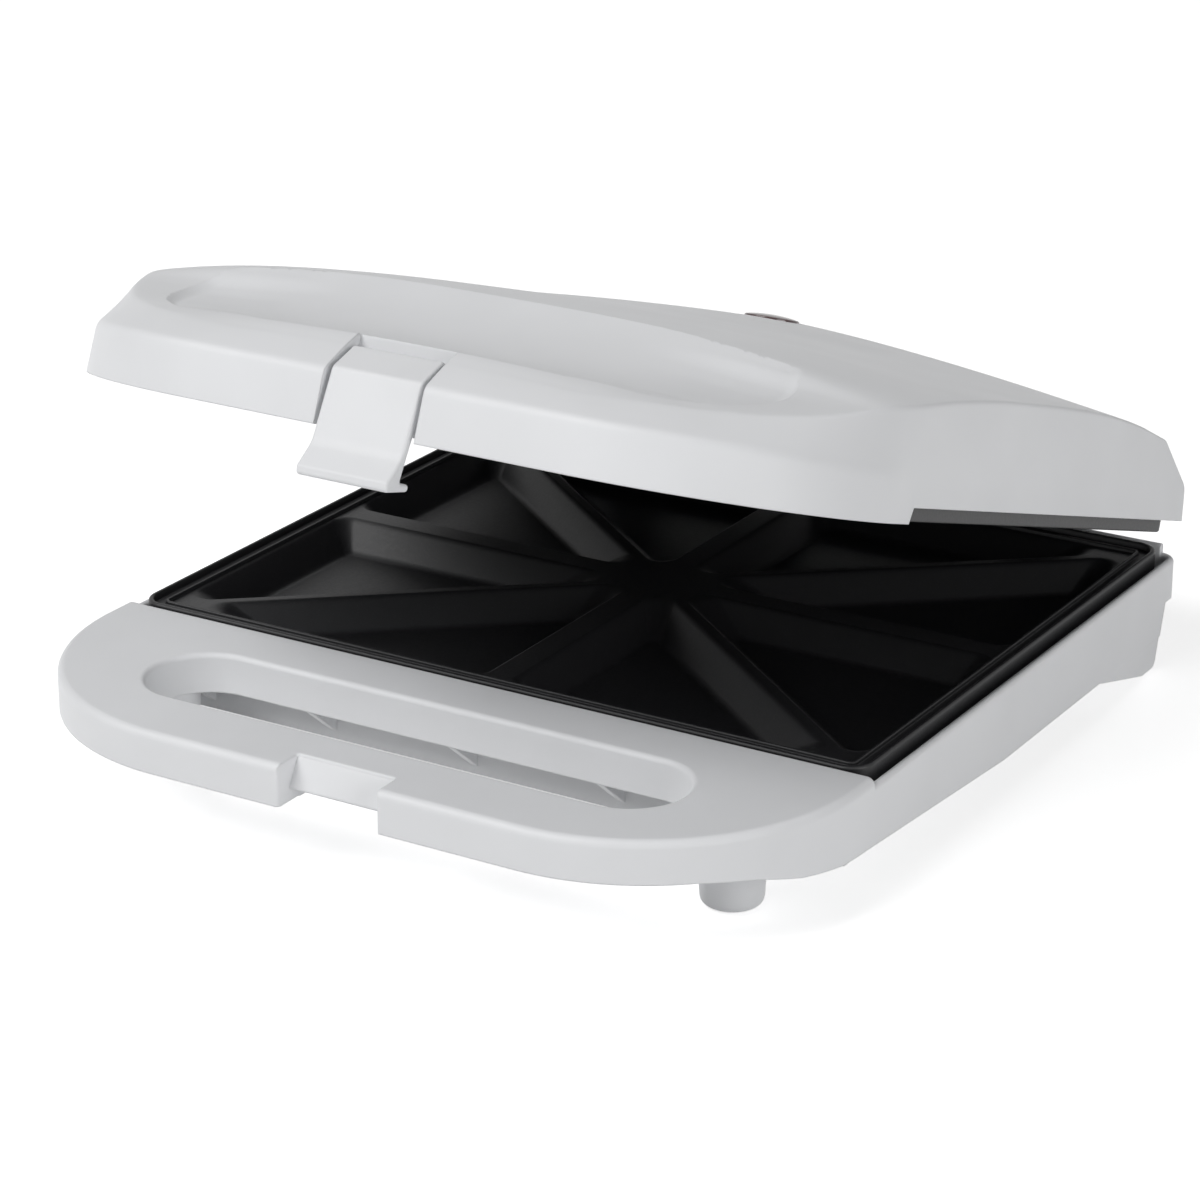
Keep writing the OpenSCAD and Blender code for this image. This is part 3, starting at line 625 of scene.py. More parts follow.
@dataclass(frozen=True)
class NonStickCoating:
    """Sprayed and baked PTFE coat on die-cast aluminium.

    Nearly black with a satin sheen and the fine orange-peel of a sprayed coat, with faint grey specks.
    """

    name: str = "ptfe_coated_cast_aluminium"
    colour: str = "#171719"
    speck: str = "#303033"
    peel_mm: float = 1.1
    speck_mm: float = 0.35  # mica flakes are about 0.1 mm; drawn coarser, so that they show

    def make(self) -> bpy.types.Material:
        """Build the material.

        Returns:
            The Blender material.
        """
        m = Material(self.name)
        peel, _ = m.grained(self.peel_mm, 4, rough=0.6)
        stops = [(0.62, linear(self.colour)), (0.74, linear(self.speck))]
        _, colour = m.grained(self.speck_mm, 2, stops, 0.6)
        blur = m.add("ShaderNodeMapRange", Value=peel, To_Min=0.36, To_Max=0.52)
        return m.shaded(Base_Color=colour, Roughness=blur, IOR=1.45, Normal=m.relief(peel, 0.03, 0.5))


@dataclass(frozen=True)
class Metal:
    """A bare or plated metal surface.

    Its tint comes from the metal, its blur from how it was rolled, drawn or plated.
    """

    name: str
    colour: str
    roughness: float
    grain_mm: float = 0.6  # drawn coarser than a rolled or plated skin's real grain, so that it shows
    depth_mm: float = 0.004
    stain: float = 0.9
    stain_mm: float = 9.0
    edge_mm: float = 0.15

    def make(self) -> bpy.types.Material:
        """Build the material.

        Returns:
            The Blender material.
        """
        m = Material(self.name)
        stops = [(0.3, linear(self.colour)), (0.75, linear(self.colour, self.stain))]
        _, colour = m.grained(self.stain_mm, 3, stops)
        grain, _ = m.grained(self.grain_mm, 4, rough=0.6)
        blur = m.add("ShaderNodeMapRange", Value=grain, To_Min=self.roughness - 0.06, To_Max=self.roughness + 0.08)
        return m.shaded(Base_Color=colour, Metallic=1.0, Roughness=blur,
                        Normal=m.relief(grain, self.depth_mm, self.edge_mm))


@dataclass(frozen=True)
class DullSolid:
    """A dull, non-metallic body such as steatite, rubber or nylon.

    Its light spreads softly: little shine, a fine grain and a slightly uneven colour.
    """

    name: str
    colour: str
    roughness: float
    grain_mm: float = 0.4
    depth_mm: float = 0.015
    cloud_mm: float = 6.0
    edge_mm: float = 0.25

    def make(self) -> bpy.types.Material:
        """Build the material.

        Returns:
            The Blender material.
        """
        m = Material(self.name)
        stops = [(0.3, linear(self.colour)), (0.75, linear(self.colour, 0.93))]
        _, colour = m.grained(self.cloud_mm, 2, stops)
        grain, _ = m.grained(self.grain_mm, 4, rough=0.6)
        return m.shaded(Base_Color=colour, Roughness=self.roughness, IOR=1.5,
                        Normal=m.relief(grain, self.depth_mm, self.edge_mm))


@dataclass(frozen=True)
class BraidedSleeve:
    """Varnished glass-fibre sleeving over a stranded wire.

    Its plaited threads catch the light as a fine diamond pattern; the grooves between them are painted darker, a
    painted shade on top of the bump.
    """

    name: str = "varnished_glass_fibre_sleeve"
    colour: str = "#9c3328"
    thread_mm: float = 0.35

    def make(self) -> bpy.types.Material:
        """Build the material.

        Returns:
            The Blender material.
        """
        m = Material(self.name)
        weave = []
        for turn in (0.785, -0.785):
            mapped = m.add("ShaderNodeMapping", None, m.place, Rotation=(0.3, 0.2, turn))
            weave.append(m.add("ShaderNodeTexWave", {"wave_type": "BANDS"}, mapped,
                               Scale=1 / (self.thread_mm * MM) / 6.28, Distortion=0.5).outputs["Fac"])
        plait = m.add("ShaderNodeMath", "MAXIMUM", *weave)
        # painted shade: the colour darkens to 0.6 of the thread colour in the grooves between the threads
        stops = [(0.2, linear(self.colour, 0.6)), (0.8, linear(self.colour))]
        colour = m.add("ShaderNodeValToRGB", {"stops": stops}, plait)
        bump = m.add("ShaderNodeBump", Height=plait, Strength=1.0, Distance=0.06 * MM)
        return m.shaded(Base_Color=colour, Roughness=0.55, Normal=bump)


@dataclass(frozen=True)
class ClearMoulding:
    """A see-through or deeply tinted body with a polished skin.

    The lens is polycarbonate tinted so dark that the lamps only show when lit; the lamps are clear glass
    with an orange tint. A cloud pattern keeps either from looking like one flat colour.
    """

    name: str
    colour: str
    roughness: float
    ior: float
    coat: float = 0.0
    clear: float = 0.0
    cloud_mm: float = 4.0
    cloud_detail: float = 2.0
    cloud_end: float = 0.7
    cloud_gain: float = 1.25

    def make(self) -> bpy.types.Material:
        """Build the material.

        Returns:
            The Blender material.
        """
        m = Material(self.name)
        stops = [(0.3, linear(self.colour)), (self.cloud_end, linear(self.colour, self.cloud_gain))]
        _, colour = m.grained(self.cloud_mm, self.cloud_detail, stops)
        return m.shaded(Base_Color=colour, Roughness=self.roughness, IOR=self.ior, Coat_Weight=self.coat,
                        Coat_Roughness=0.05, Transmission_Weight=self.clear)


class Finish(Enum):
    """The finishes, by the record's material slot."""

    WHITE = ("white_plastic", MouldedPlastic("glossy_moulded_abs_white", "#e9eaec"))
    NONSTICK = ("nonstick_aluminium", NonStickCoating())
    ZINC = ("zinc_steel", Metal("zinc_plated_steel", "#c3c6c8", 0.32, stain=0.85))
    SHEET = ("tray_sheet", Metal("cold_rolled_aluminised_sheet", "#d2d4d5", 0.3, 1.6, 0.008))
    SHEATH = ("element_sheath", Metal("heat_darkened_steel_tube", "#6b665f", 0.5, 0.5, 0.01, 0.6))
    CERAMIC = ("bead_ceramic", DullSolid("unglazed_steatite", "#ece6d8", 0.75))
    PHENOLIC = ("thermostat_body", DullSolid("pressed_phenolic_disc", "#c8b48f", 0.6))
    BRASS = ("fuse_brass", Metal("turned_brass", "#d9b56b", 0.3))
    NYLON = ("terminal_nylon", DullSolid("moulded_nylon", "#e8e4da", 0.5, 0.6, 0.006))
    BUSHING = ("bushing_rubber", DullSolid("moulded_flexible_pvc_grey", "#d5d7d8", 0.48, 0.5, 0.006))
    PAD = ("pad_rubber", DullSolid("cut_rubber_sheet", "#3b3b3d", 0.85))
    SLEEVE = ("lead_sleeve", BraidedSleeve())
    LENS = ("lens_plastic", ClearMoulding("tinted_polycarbonate_lens", "#3a1013", 0.12, 1.58, coat=0.3))
    LAMP = ("lamp_glass", ClearMoulding("neon_lamp_glass", "#f0b184", 0.06, 1.5, 0.0, 0.7, 3.0, 1.0, 0.8, 0.9))

    @property
    def slot(self) -> str:
        """The record's slot name."""
        return self.value[0]

    @property
    def material(self) -> bpy.types.Material:
        """The Blender material, made the first time it is asked for."""
        found = bpy.data.materials.get(self.value[1].name)
        return found or self.value[1].make()


def dress(made: bpy.types.Object, finish: Finish, body: Body, *nodes: str) -> None:
    """Give a finished piece its material and its place in the assembly.

    Args:
        made: The piece.
        finish: Its finish.
        body: The body it moves with.
        nodes: CAD nodes it stands for.
    """
    made.data.materials.clear()
    made.data.materials.append(finish.material)
    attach(made, body.value)
    if nodes:
        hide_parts(*nodes)
    LOG.info("%s: %d faces on %s", made.name, len(made.data.polygons), body.value)


# ---------------------------------------------------------------- the lower housing


@dataclass
class BaseHousing:
    """The lower housing: the grip with its slot and latch notch, the pan, the feet and the hinge's lugs."""

    half_w: float = 136.5
    reach: float = 83.0
    rear: float = 222.0
    corner_r: float = 72.0
    rear_r: float = 6.0
    wall: float = 2.8
    skin_t: float = 3.0
    edge_r: float = 2.6
    skirt: float = 13.6
    side_top: float = -2.6
    pan_half: float = 129.0
    pan_z: float = -27.6
    floor_z: float = -25.2
    ledge_z: float = -7.3
    slot_half: float = 94.7
    slot_r: float = 18.1
    slot_y: float = -38.9
    slot_edge: float = 1.8
    notch_half: float = 17.3
    notch_back: float = -72.5
    notch_edge: float = 0.7
    foot: tuple = (102.7, -24.3)
    gusset_x: tuple = (-100, -53, 0, 53, 100)
    vent_x: tuple = (-80, -62, -44, 44, 62, 80)
    vent_y: tuple = (64.4, 93.6)
    vent_half: float = 1.6
    lug_spans: tuple = ((64, 70), (92, 98))
    pin_starts: tuple = (-101, 60)
    pin_bore_r: float = 2.03
    pin_bore_l: float = 41.0
    boss_seat: float = -24.4
    cover_seat: tuple = (31.0, 11.5, 3.0)  # half width, half depth and corner radius
    cover_hole: tuple = (22.0, 8.0)  # half width and half depth
    cover_t: float = 1.2
    inlet_bore_r: float = 6.0
    pad_pocket: tuple = ((112, 132), (197, 204))  # its spans across and along
    below_pan: float = -30.0
    below_all: float = -41.0

    def shell(self) -> bpy.types.Object:
        """Make the grip and the side walls, hollow from below, with rounded upper edges.

        Returns:
            The moulding so far.
        """
        plan = rectangle(self.half_w, -self.reach, self.rear, self.corner_r, self.rear_r, 48)
        e, w, low = self.edge_r, self.wall, self.below_all
        made = plan.stack("base_moulding", [(0, low + 1), *arc((-e, -e), e, 0, 90, 7)])
        top = self.side_top - w / 2
        band = [(0.5, low), (0.5, top), (-0.01, top), *arc((-w / 2, top), w / 2, 12, 168, 9), (-w, top), (-w, low)]
        above = block("above", (-150, -0.6, -10), (150, 240, 5))
        cut(above, plan.stack("band", band, hollow=True))
        cut(made, above)
        cut(made, plan.stack("room", [(-w, low), (-w, -self.skin_t - 1), (-w - 1, -self.skin_t)]))
        return made

    def slot_tool(self, levels: list) -> bpy.types.Object:
        """A long round-ended solid on the slot's plan.

        Args:
            levels: Pairs of distance outside the slot and height.

        Returns:
            The solid.
        """
        half, y, r = self.slot_half, self.slot_y, self.slot_r
        plan = Plan([(-half, y - r), (half, y - r), (half, y + r), (-half, y + r)], [r] * 4, 24)
        return plan.stack("slot", levels)

    def grip(self, made: bpy.types.Object) -> None:
        """Cut the slot and the latch notch, and raise the walls round them.

        Args:
            made: The moulding.
        """
        collar, e, n = 2.4, self.slot_edge, self.notch_half
        weld(made, self.slot_tool([(collar - 0.6, -13.2), (collar, -12.6), (collar, -1)]))
        cut(made, self.slot_tool([(0, -30), *arc((e, -e), e, 180, 90, 8), (e, 5)]))
        for side in SIDES:
            x0, x1 = span(side, n - 0.5, n + 2.4)
            weld(made, block("cheek", (x0, -80.6, -self.skirt), (x1, -69.7, -1)))
        front = -0.01 - self.reach
        plan = Plan([(-34, -92), (34, -92), (34, front), (n, front), (n, self.notch_back), (-n, self.notch_back),
                     (-n, front), (-34, front)], [1, 1, 0.01, 1.4, 0.8, 0.8, 1.4, 0.01], 6)
        e = self.notch_edge
        cut(made, plan.stack("notch", [(0, -30), *arc((e, -e), e, 180, 90, 5), (e, 5)]))
        ramp = [(-69.7, -0.9), (-72.45, -0.9), (-72.9, -1.3), (-77.1, -8.6), (-77.3, -9.2), (-77.0, -9.7),
                (-74.6, -9.7), (-69.7, -2)]
        weld(made, side_profile("ramp", ramp, -n - 1, n + 1))

    def below(self, made: bpy.types.Object) -> None:
        """Slope the walls' lower edge.

        Args:
            made: The moulding.
        """
        s, z = -self.skirt, self.pan_z
        cutter = [(-100, s), (-64, s), (-50, -15.2), (-36, -18.6), (-20, -20.6), (-3, -21.6), (88, z), (208.9, z),
                  (212.2, -16.6), (240, -16.6), (240, -60), (-100, -60)]
        cut(made, side_profile("below", cutter, -150, 150))

    def pan(self, made: bpy.types.Object) -> None:
        """Add the pan's floor, walls, ledges, inlet block and sloping rear.

        Args:
            made: The moulding.
        """
        h, z, ledge, out = self.pan_half, self.pan_z, self.ledge_z, self.half_w - 1
        parts = [((-h, -3, z), (h, 208, self.floor_z)), ((-h, -4.4, z - 0.9), (h, -0.65, -1))]
        for side in SIDES:
            for low, high in (((h - 2.4, -3, z), (h, 208, ledge)),
                              ((h - 2.4, -3, ledge - 2.2), (out, 218, ledge)),
                              ((h - 2.4, -4.4, ledge - 2.2), (out, -0.65, -1)),
                              ((130, 209.9, -16.55), (134.6, 219, -14.2))):
                x0, x1 = span(side, low[0], high[0])
                parts.append(((x0, *low[1:]), (x1, *high[1:])))
        parts.append(((-12, 207, -24), (12, self.rear, -12)))
        for low, high in parts:
            weld(made, block("part", low, high))
        rear = [(206.5, z), (208.9, z), (212.2, -16.6), (222, -16.6), (222, -0.8), (221.6, 0.1), (220.8, 0.6),
                (220.0, 0.6), (219.2, 0.1), (219.2, -14.2), (209.9, -14.2)]
        weld(made, side_profile("rear", rear, 6 - self.half_w, self.half_w - 6))

    def stands(self, made: bpy.types.Object) -> None:
        """Add the gussets and bosses, and on either side a foot, a rear block and hinge lugs.

        Args:
            made: The moulding.
        """
        for x in self.gusset_x:
            profile = [(-2.8, -2), (-2.8, -26), (-4.5, -25.6), (-19, -13.4), (-19, -2)]
            weld(made, side_profile("gusset", profile, x - 1.3, x + 1.3))
        for spot in SPOTS.plate_screws:
            weld(made, post("boss", 4.5, spot, self.floor_z - 1, -22.0, 48))
        for side, cover_screw in zip(SIDES, SPOTS.cover_screws):
            weld(made, post("boss", 4, cover_screw, self.floor_z - 1, -22.4, 48))
            weld(made, self.leg(side))
            weld(made, self.rear_block(side))
            for a, b in self.lug_spans:
                self.lug(made, *span(side, a, b))

    def leg(self, side: int) -> bpy.types.Object:
        """One front foot, hollow below for its pad.

        Args:
            side: -1 for the left, 1 for the right.

        Returns:
            The solid.
        """
        high = FRAME.stand_h
        profile = [(0, 1.6), (7, 1.6), (7, 0.5), *arc((7.2, 2.9), 2.4, -90, -9, 10), (9.7, 3.2), (11.3, high - 2),
                   (0, high - 2)]
        return lathe("leg", profile, (side * self.foot[0], self.foot[1], -high), sides=96)

    def rear_block(self, side: int) -> bpy.types.Object:
        """One rear corner block, with a pocket below for its pad.

        Args:
            side: -1 for the left, 1 for the right.

        Returns:
            The solid.
        """
        z, ground = self.pan_z, -FRAME.stand_h
        profile = [(159, z), (162.5, -28.7), (194, -37.4), (196.3, ground + 0.5), (204.1, ground + 0.5),
                   (205.6, -37.5), (206.7, -36), (212.2, -16.6), (212.2, -15), (209.9, -15), (207, z + 1.2),
                   (159, z + 1.2)]
        made = side_profile("rear_block", profile, *span(side, 108, self.half_w - 0.2))
        round_rims(made, 0.8)
        across, (y0, y1) = self.pad_pocket
        x0, x1 = span(side, *across)
        cut(made, block("pocket", (x0, y0, ground - 1), (x1, y1, ground + 1.6)))
        return made

    def lug(self, made: bpy.types.Object, x0: float, x1: float) -> None:
        """Add one hinge lug with its round eye.

        Args:
            made: The moulding.
            x0: The lug's left face.
            x1: Its right face.
        """
        y, z, r = FRAME.hinge_y, FRAME.hinge_z, FRAME.barrel_r
        weld(made, lathe("eye", knob(r, x1 - x0), (x0, y, z), axis=Axis.X))
        web = [(221, -13), (223.5, -13), (y + 3.9, z - 3.9), (y, z + r), (223.5, 1.6), (221, -0.4)]
        weld(made, side_profile("web", web, x0 + 0.3, x1 - 0.3))

    def holes(self, made: bpy.types.Object) -> None:
        """Cut every bore, opening and vent.

        Args:
            made: The moulding.
        """
        low = self.below_pan
        pin_bore = [(self.pin_bore_r, 0), (self.pin_bore_r, self.pin_bore_l)]
        for x0 in self.pin_starts:
            cut(made, lathe("pin_bore", pin_bore, (x0, FRAME.hinge_y, FRAME.hinge_z), sides=48, axis=Axis.X))
        stepped = [(3.6, low), (3.6, self.boss_seat), (1.9, self.boss_seat), (1.9, -20)]
        for spot in SPOTS.plate_screws:
            cut(made, lathe("boss_bore", stepped, (*spot, 0), sides=40))
        y = SPOTS.cover_y
        half, deep, r = self.cover_seat
        seat = [(0, low), (0, self.pan_z + self.cover_t)]
        cut(made, rectangle(half, y - deep, y + deep, r).stack("cover_seat", seat))
        half, deep = self.cover_hole
        cut(made, block("cover_hole", (-half, y - deep, low), (half, y + deep, self.floor_z + 1)))
        for spot in SPOTS.cover_screws:
            cut(made, post("cover_bore", 1.2, spot, low, -22.9, 24))
        cut(made, block("inlet_room", (-9.6, 203, -21.4), (9.6, 219.2, -12)))
        r = self.inlet_bore_r
        cut(made, lathe("inlet_bore", [(r, 0), (r, 12)], (0, 214, SPOTS.inlet_z), axis=Axis.Y))
        r, (y0, y1) = self.vent_half, self.vent_y
        for x in self.vent_x:
            vent = Plan([(x - r, y0), (x + r, y0), (x + r, y1), (x - r, y1)], [r] * 4, 6)
            cut(made, vent.stack("vent", [(0, low), (0, -20)]))

    def build(self) -> bpy.types.Object:
        """Build the lower housing's moulding.

        Returns:
            The finished piece.
        """
        made = self.shell()
        for step in (self.grip, self.below, self.pan, self.stands, self.holes):
            step(made)
        rename(made, "base_moulding")
        finish_normals(made)
        return made


# ---------------------------------------------------------------- the lid


@dataclass
class LidForm:
    """The lid's outer form, as heights over the drawing plane with the lid closed."""

    half_w: float = 136.5
    reach: float = 77.0
    rear: float = 224.0
    corner_r: float = 72.0
    brow_x: float = 134.0
    dish_floor: float = 28.2
    dish_low_y: float = -50.0
    side: list = field(default_factory=lambda: [
        (-70, 22), (-66, 21.3), (-59, 20.8), (-49.5, 23.1), (-37.5, 26.8), (-22, 31), (-5, 34.4), (14, 36.6),
        (31, 38.1), (65, 39.6), (105, 39.8), (130, 39.5), (155, 38.3), (175, 36.4), (190, 34.2), (205, 32)])
    middle: list = field(default_factory=lambda: [
        (-70, 23.3), (-67, 25.2), (-61.5, 28.8), (-57, 30.6), (-48, 32), (-35, 32.2), (-25, 33.6), (-18, 37),
        (-11, 43.6), (-6, 45.2), (0, 45.8), (15, 46.8), (30, 47.6), (60, 48.3), (100, 48.8), (108, 49.1),
        (118, 49.8), (127, 50.3), (145, 50.5), (170, 50.5), (180, 48.6), (188, 45.2), (201, 37.4), (205, 35.2)])
    flatness: list = field(default_factory=lambda: [(-66, 1.6), (-30, 2.4), (-8, 3), (60, 1.6), (100, 1.5)])
    dish_end: list = field(default_factory=lambda: [
        (-60, 66), (-57, 80), (-55, 86.5), (-50, 94), (-45, 98.8), (-40, 101.8), (-33, 104.4), (-26, 105.4),
        (-20, 105), (-13, 102.4), (-8, 100), (0, 97)])
    end_depth: list = field(default_factory=lambda: [
        (-60, -0.4), (-57.5, 0.1), (-55.5, 0.8), (-50, 1.5), (-44, 1.9), (-16, 1.9), (-11, 1.2), (-8.4, 0.2),
        (-7.4, -0.3), (-2, -3)])
    end_wall: float = 4.5
    mid_y: float = 72.0

    @staticmethod
    def curve(y: np.ndarray, knots: list) -> np.ndarray:
        """A smooth monotone curve through the listed knots (Fritsch-Carlson cubic).

        Args:
            y: Where it is wanted.
            knots: Pairs of y and height.

        Returns:
            Its heights.
        """
        x, v = np.array(knots, float).T
        h = np.diff(x)
        d = np.diff(v) / h
        m = np.concatenate([[d[0]], np.where(d[:-1] * d[1:] > 0, 3 * (h[:-1] + h[1:]) / (
            (2 * h[1:] + h[:-1]) / np.where(d[:-1] == 0, 1, d[:-1])
            + (h[1:] + 2 * h[:-1]) / np.where(d[1:] == 0, 1, d[1:])), 0), [d[-1]]])
        y = np.clip(y, x[0], x[-1])
        k = np.clip(np.searchsorted(x, y, side="right") - 1, 0, len(h) - 1)
        t = (y - x[k]) / h[k]
        return ((2 * t**3 - 3 * t**2 + 1) * v[k] + (t**3 - 2 * t**2 + t) * h[k] * m[k]
                + (-2 * t**3 + 3 * t**2) * v[k + 1] + (t**3 - t**2) * h[k] * m[k + 1])

    def crown(self, x: np.ndarray, y: np.ndarray) -> np.ndarray:
        """Height of the crown, the brow in front included.

        Args:
            x: Places across the toaster.
            y: Places along its depth.

        Returns:
            The heights.
        """
        side = self.curve(y, self.side)
        bow = 1 - np.minimum(1, np.sqrt(x * x + 4) / self.brow_x) ** self.curve(y, self.flatness)
        return side + (self.curve(y, self.middle) - side) * bow

    def dish(self, x: np.ndarray, y: np.ndarray) -> np.ndarray:
        """Height of the dish behind the brow.

        Args:
            x: Places across the toaster.
            y: Places along its depth.

        Returns:
            The heights.
        """
        far = np.abs(x)
        run = y - self.dish_low_y
        floor = self.dish_floor + np.where(run > 0, 17 * (run / 46) ** 2, 1.5 * (run / 14.5) ** 2)
        floor -= 2.4 * (x / 79) ** 2 * np.clip((-20 - y) / 42, 0, 1)
        floor -= 1.9 * (far / 98.7) ** 5 * np.clip((y + 30) / 22, 0, 1)
        end, depth = self.curve(y, self.dish_end), self.curve(y, self.end_depth)
        part = np.clip((far - 48) / (end - self.end_wall - 50), 0, 1)
        part = part * part * (3 - 2 * part)
        floor += (self.crown(x, y) - depth - floor) * part
        return floor + depth * np.clip((far - end + self.end_wall) / self.end_wall, 0, 1) ** 1.7

    def gap(self, x: np.ndarray, y: np.ndarray) -> np.ndarray:
        """Tell the dish from the crown.

        Args:
            x: Places across the toaster.
            y: Places along its depth.

        Returns:
            Positive numbers inside the dish's crease, 0 on it and negative ones outside.
        """
        swell = 3 * np.clip(1 - ((y + 24) / 15) ** 2, 0, 1)
        inside = np.minimum(self.crown(x, y) + swell - self.dish(x, y),
                            0.5 * (self.curve(y, self.dish_end) - np.abs(x)))
        return np.where(y > 8, -1.0, inside)

    def top(self, x: np.ndarray, y: np.ndarray) -> np.ndarray:
        """Height of the lid's top."""
        return np.where(self.gap(x, y) > 0, self.dish(x, y), self.crown(x, y))

    def normals(self, x: np.ndarray, y: np.ndarray, in_dish: np.ndarray) -> np.ndarray:
        """Upward normals of the crown or the dish.

        Args:
            x: Places across the toaster.
            y: Places along its depth.
            in_dish: True where the dish is meant.

        Returns:
            One unit vector for each place.
        """
        crown, dish = (np.stack(slopes(f, x, y, 0.05), -1) for f in (self.crown, self.dish))
        g = np.where(in_dish[..., None], dish, crown)
        n = np.concatenate([-g, np.ones(g.shape[:-1] + (1,))], -1)
        return n / np.linalg.norm(n, axis=-1, keepdims=True)

    def low(self, y: np.ndarray) -> np.ndarray:
        """Height of the lid's lower edge: it steps up over the plates' rims."""
        return np.interp(y, [3.0, 4.6], [1.6, 6.4])

    def summit(self, drop: float = 0.0) -> np.ndarray:
        """The point in the middle of the lid's top, or the one below it by drop."""
        return np.array([0, self.mid_y, self.top(np.zeros(1), np.array([self.mid_y]))[0] - drop])


def slopes(height: Callable, x: np.ndarray, y: np.ndarray, e: float) -> tuple[np.ndarray, np.ndarray]:
    """Slopes along x and y of a height over the drawing plane, from places e to either side."""
    return (height(x + e, y) - height(x - e, y)) / (2 * e), (height(x, y + e) - height(x, y - e)) / (2 * e)


@dataclass
class LidOutline:
    """Points round the lid's D outline, with matching places on every ring."""

    form: LidForm
    arc_n: int = 90
    front_n: int = 88
    side_n: int = 124
    corner_n: int = 8
    rear_n: int = 150
    split_y: float = -5.0

    def ring(self, hw: float, front: float, rear: float, r: float, r2: float) -> np.ndarray:
        """Points of one ring, from the middle of its front round by the right.

        Args:
            hw: Half width.
            front: Y of the straight front.
            rear: Y of the straight rear.
            r: Radius of the front corners.
            r2: Radius of the rear corners.

        Returns:
            The x and y of every point, once round.
        """
        cx, cy = hw - r, front + r
        end = math.acos(max(-1.0, min(1.0, (cy - self.split_y) / r)))
        u = np.linspace(0, 1, self.front_n // 2, endpoint=False)
        straight = np.stack([cx * u, np.full_like(u, front)], 1)
        a = np.linspace(0, end, self.arc_n, endpoint=False)
        arc = np.stack([cx + r * np.sin(a), cy - r * np.cos(a)], 1)
        at = np.concatenate([[0, 0.006, 4, 8, 8.8, 9.6], np.linspace(11.2, 223, self.side_n - 6)])[:-1] / 223
        y = self.split_y + at * (rear - r2 - self.split_y)
        x = np.where(y < cy, cx + np.sqrt(np.maximum(0, r * r - (cy - y) ** 2)), hw)
        side = np.stack([x, y], 1)
        b = np.linspace(0, math.pi / 2, self.corner_n, endpoint=False)
        corner = np.stack([hw - r2 + r2 * np.cos(b), rear - r2 + r2 * np.sin(b)], 1)
        v = np.linspace(hw - r2, 0, self.rear_n // 2, endpoint=False)
        back = np.stack([v, np.full_like(v, rear)], 1)
        half = np.concatenate([straight, arc, side, corner, back])
        return np.concatenate([half, [[0.0, rear]], half[:0:-1] * [-1, 1]])

    def shrink(self, ring: np.ndarray, t: float) -> np.ndarray:
        """A ring on the way to the middle, t = 0 at the ring and 1 at the middle."""
        mid_y = self.form.mid_y
        return np.stack([ring[:, 0] * (1 - t), mid_y + (ring[:, 1] - mid_y) * (1 - t)], 1)


def rounded_crease(before: np.ndarray, crease: np.ndarray, after: np.ndarray, reach: float,
                   steps: int = 6) -> list:
    """Rings that round a crease between two matched rings.

    Args:
        before: The ring before the crease.
        crease: The crease's own ring.
        after: The ring after it.
        reach: How far the rounding runs to either side.
        steps: Count of rings.

    Returns:
        The rings that take the crease's place.
    """
    ends = []
    for ring in (before, after):
        way = ring - crease
        length = np.linalg.norm(way, axis=1, keepdims=True)
        ends.append(crease + way * np.minimum(0.48, reach / np.maximum(length, 1e-6)))
    return [(1 - t) ** 2 * ends[0] + 2 * t * (1 - t) * crease + t * t * ends[1]
            for t in np.linspace(0, 1, steps)]


def draped(name: str, rings: list, summit: np.ndarray, low_z: float) -> bpy.types.Object:
    """A solid of the lid, skinned over rings from its summit down and drawn in below.

    Args:
        name: Name of the object.
        rings: Arrays of points, the innermost of the top first.
        summit: The point in the middle of the top.
        low_z: Height of the point in the middle of the underside.

    Returns:
        The solid.
    """
    points, faces = skin(rings, tips=(summit, [0, summit[1], low_z]))
    return new_object(name, points, [[f[0], *f[:0:-1]] for f in faces], True)


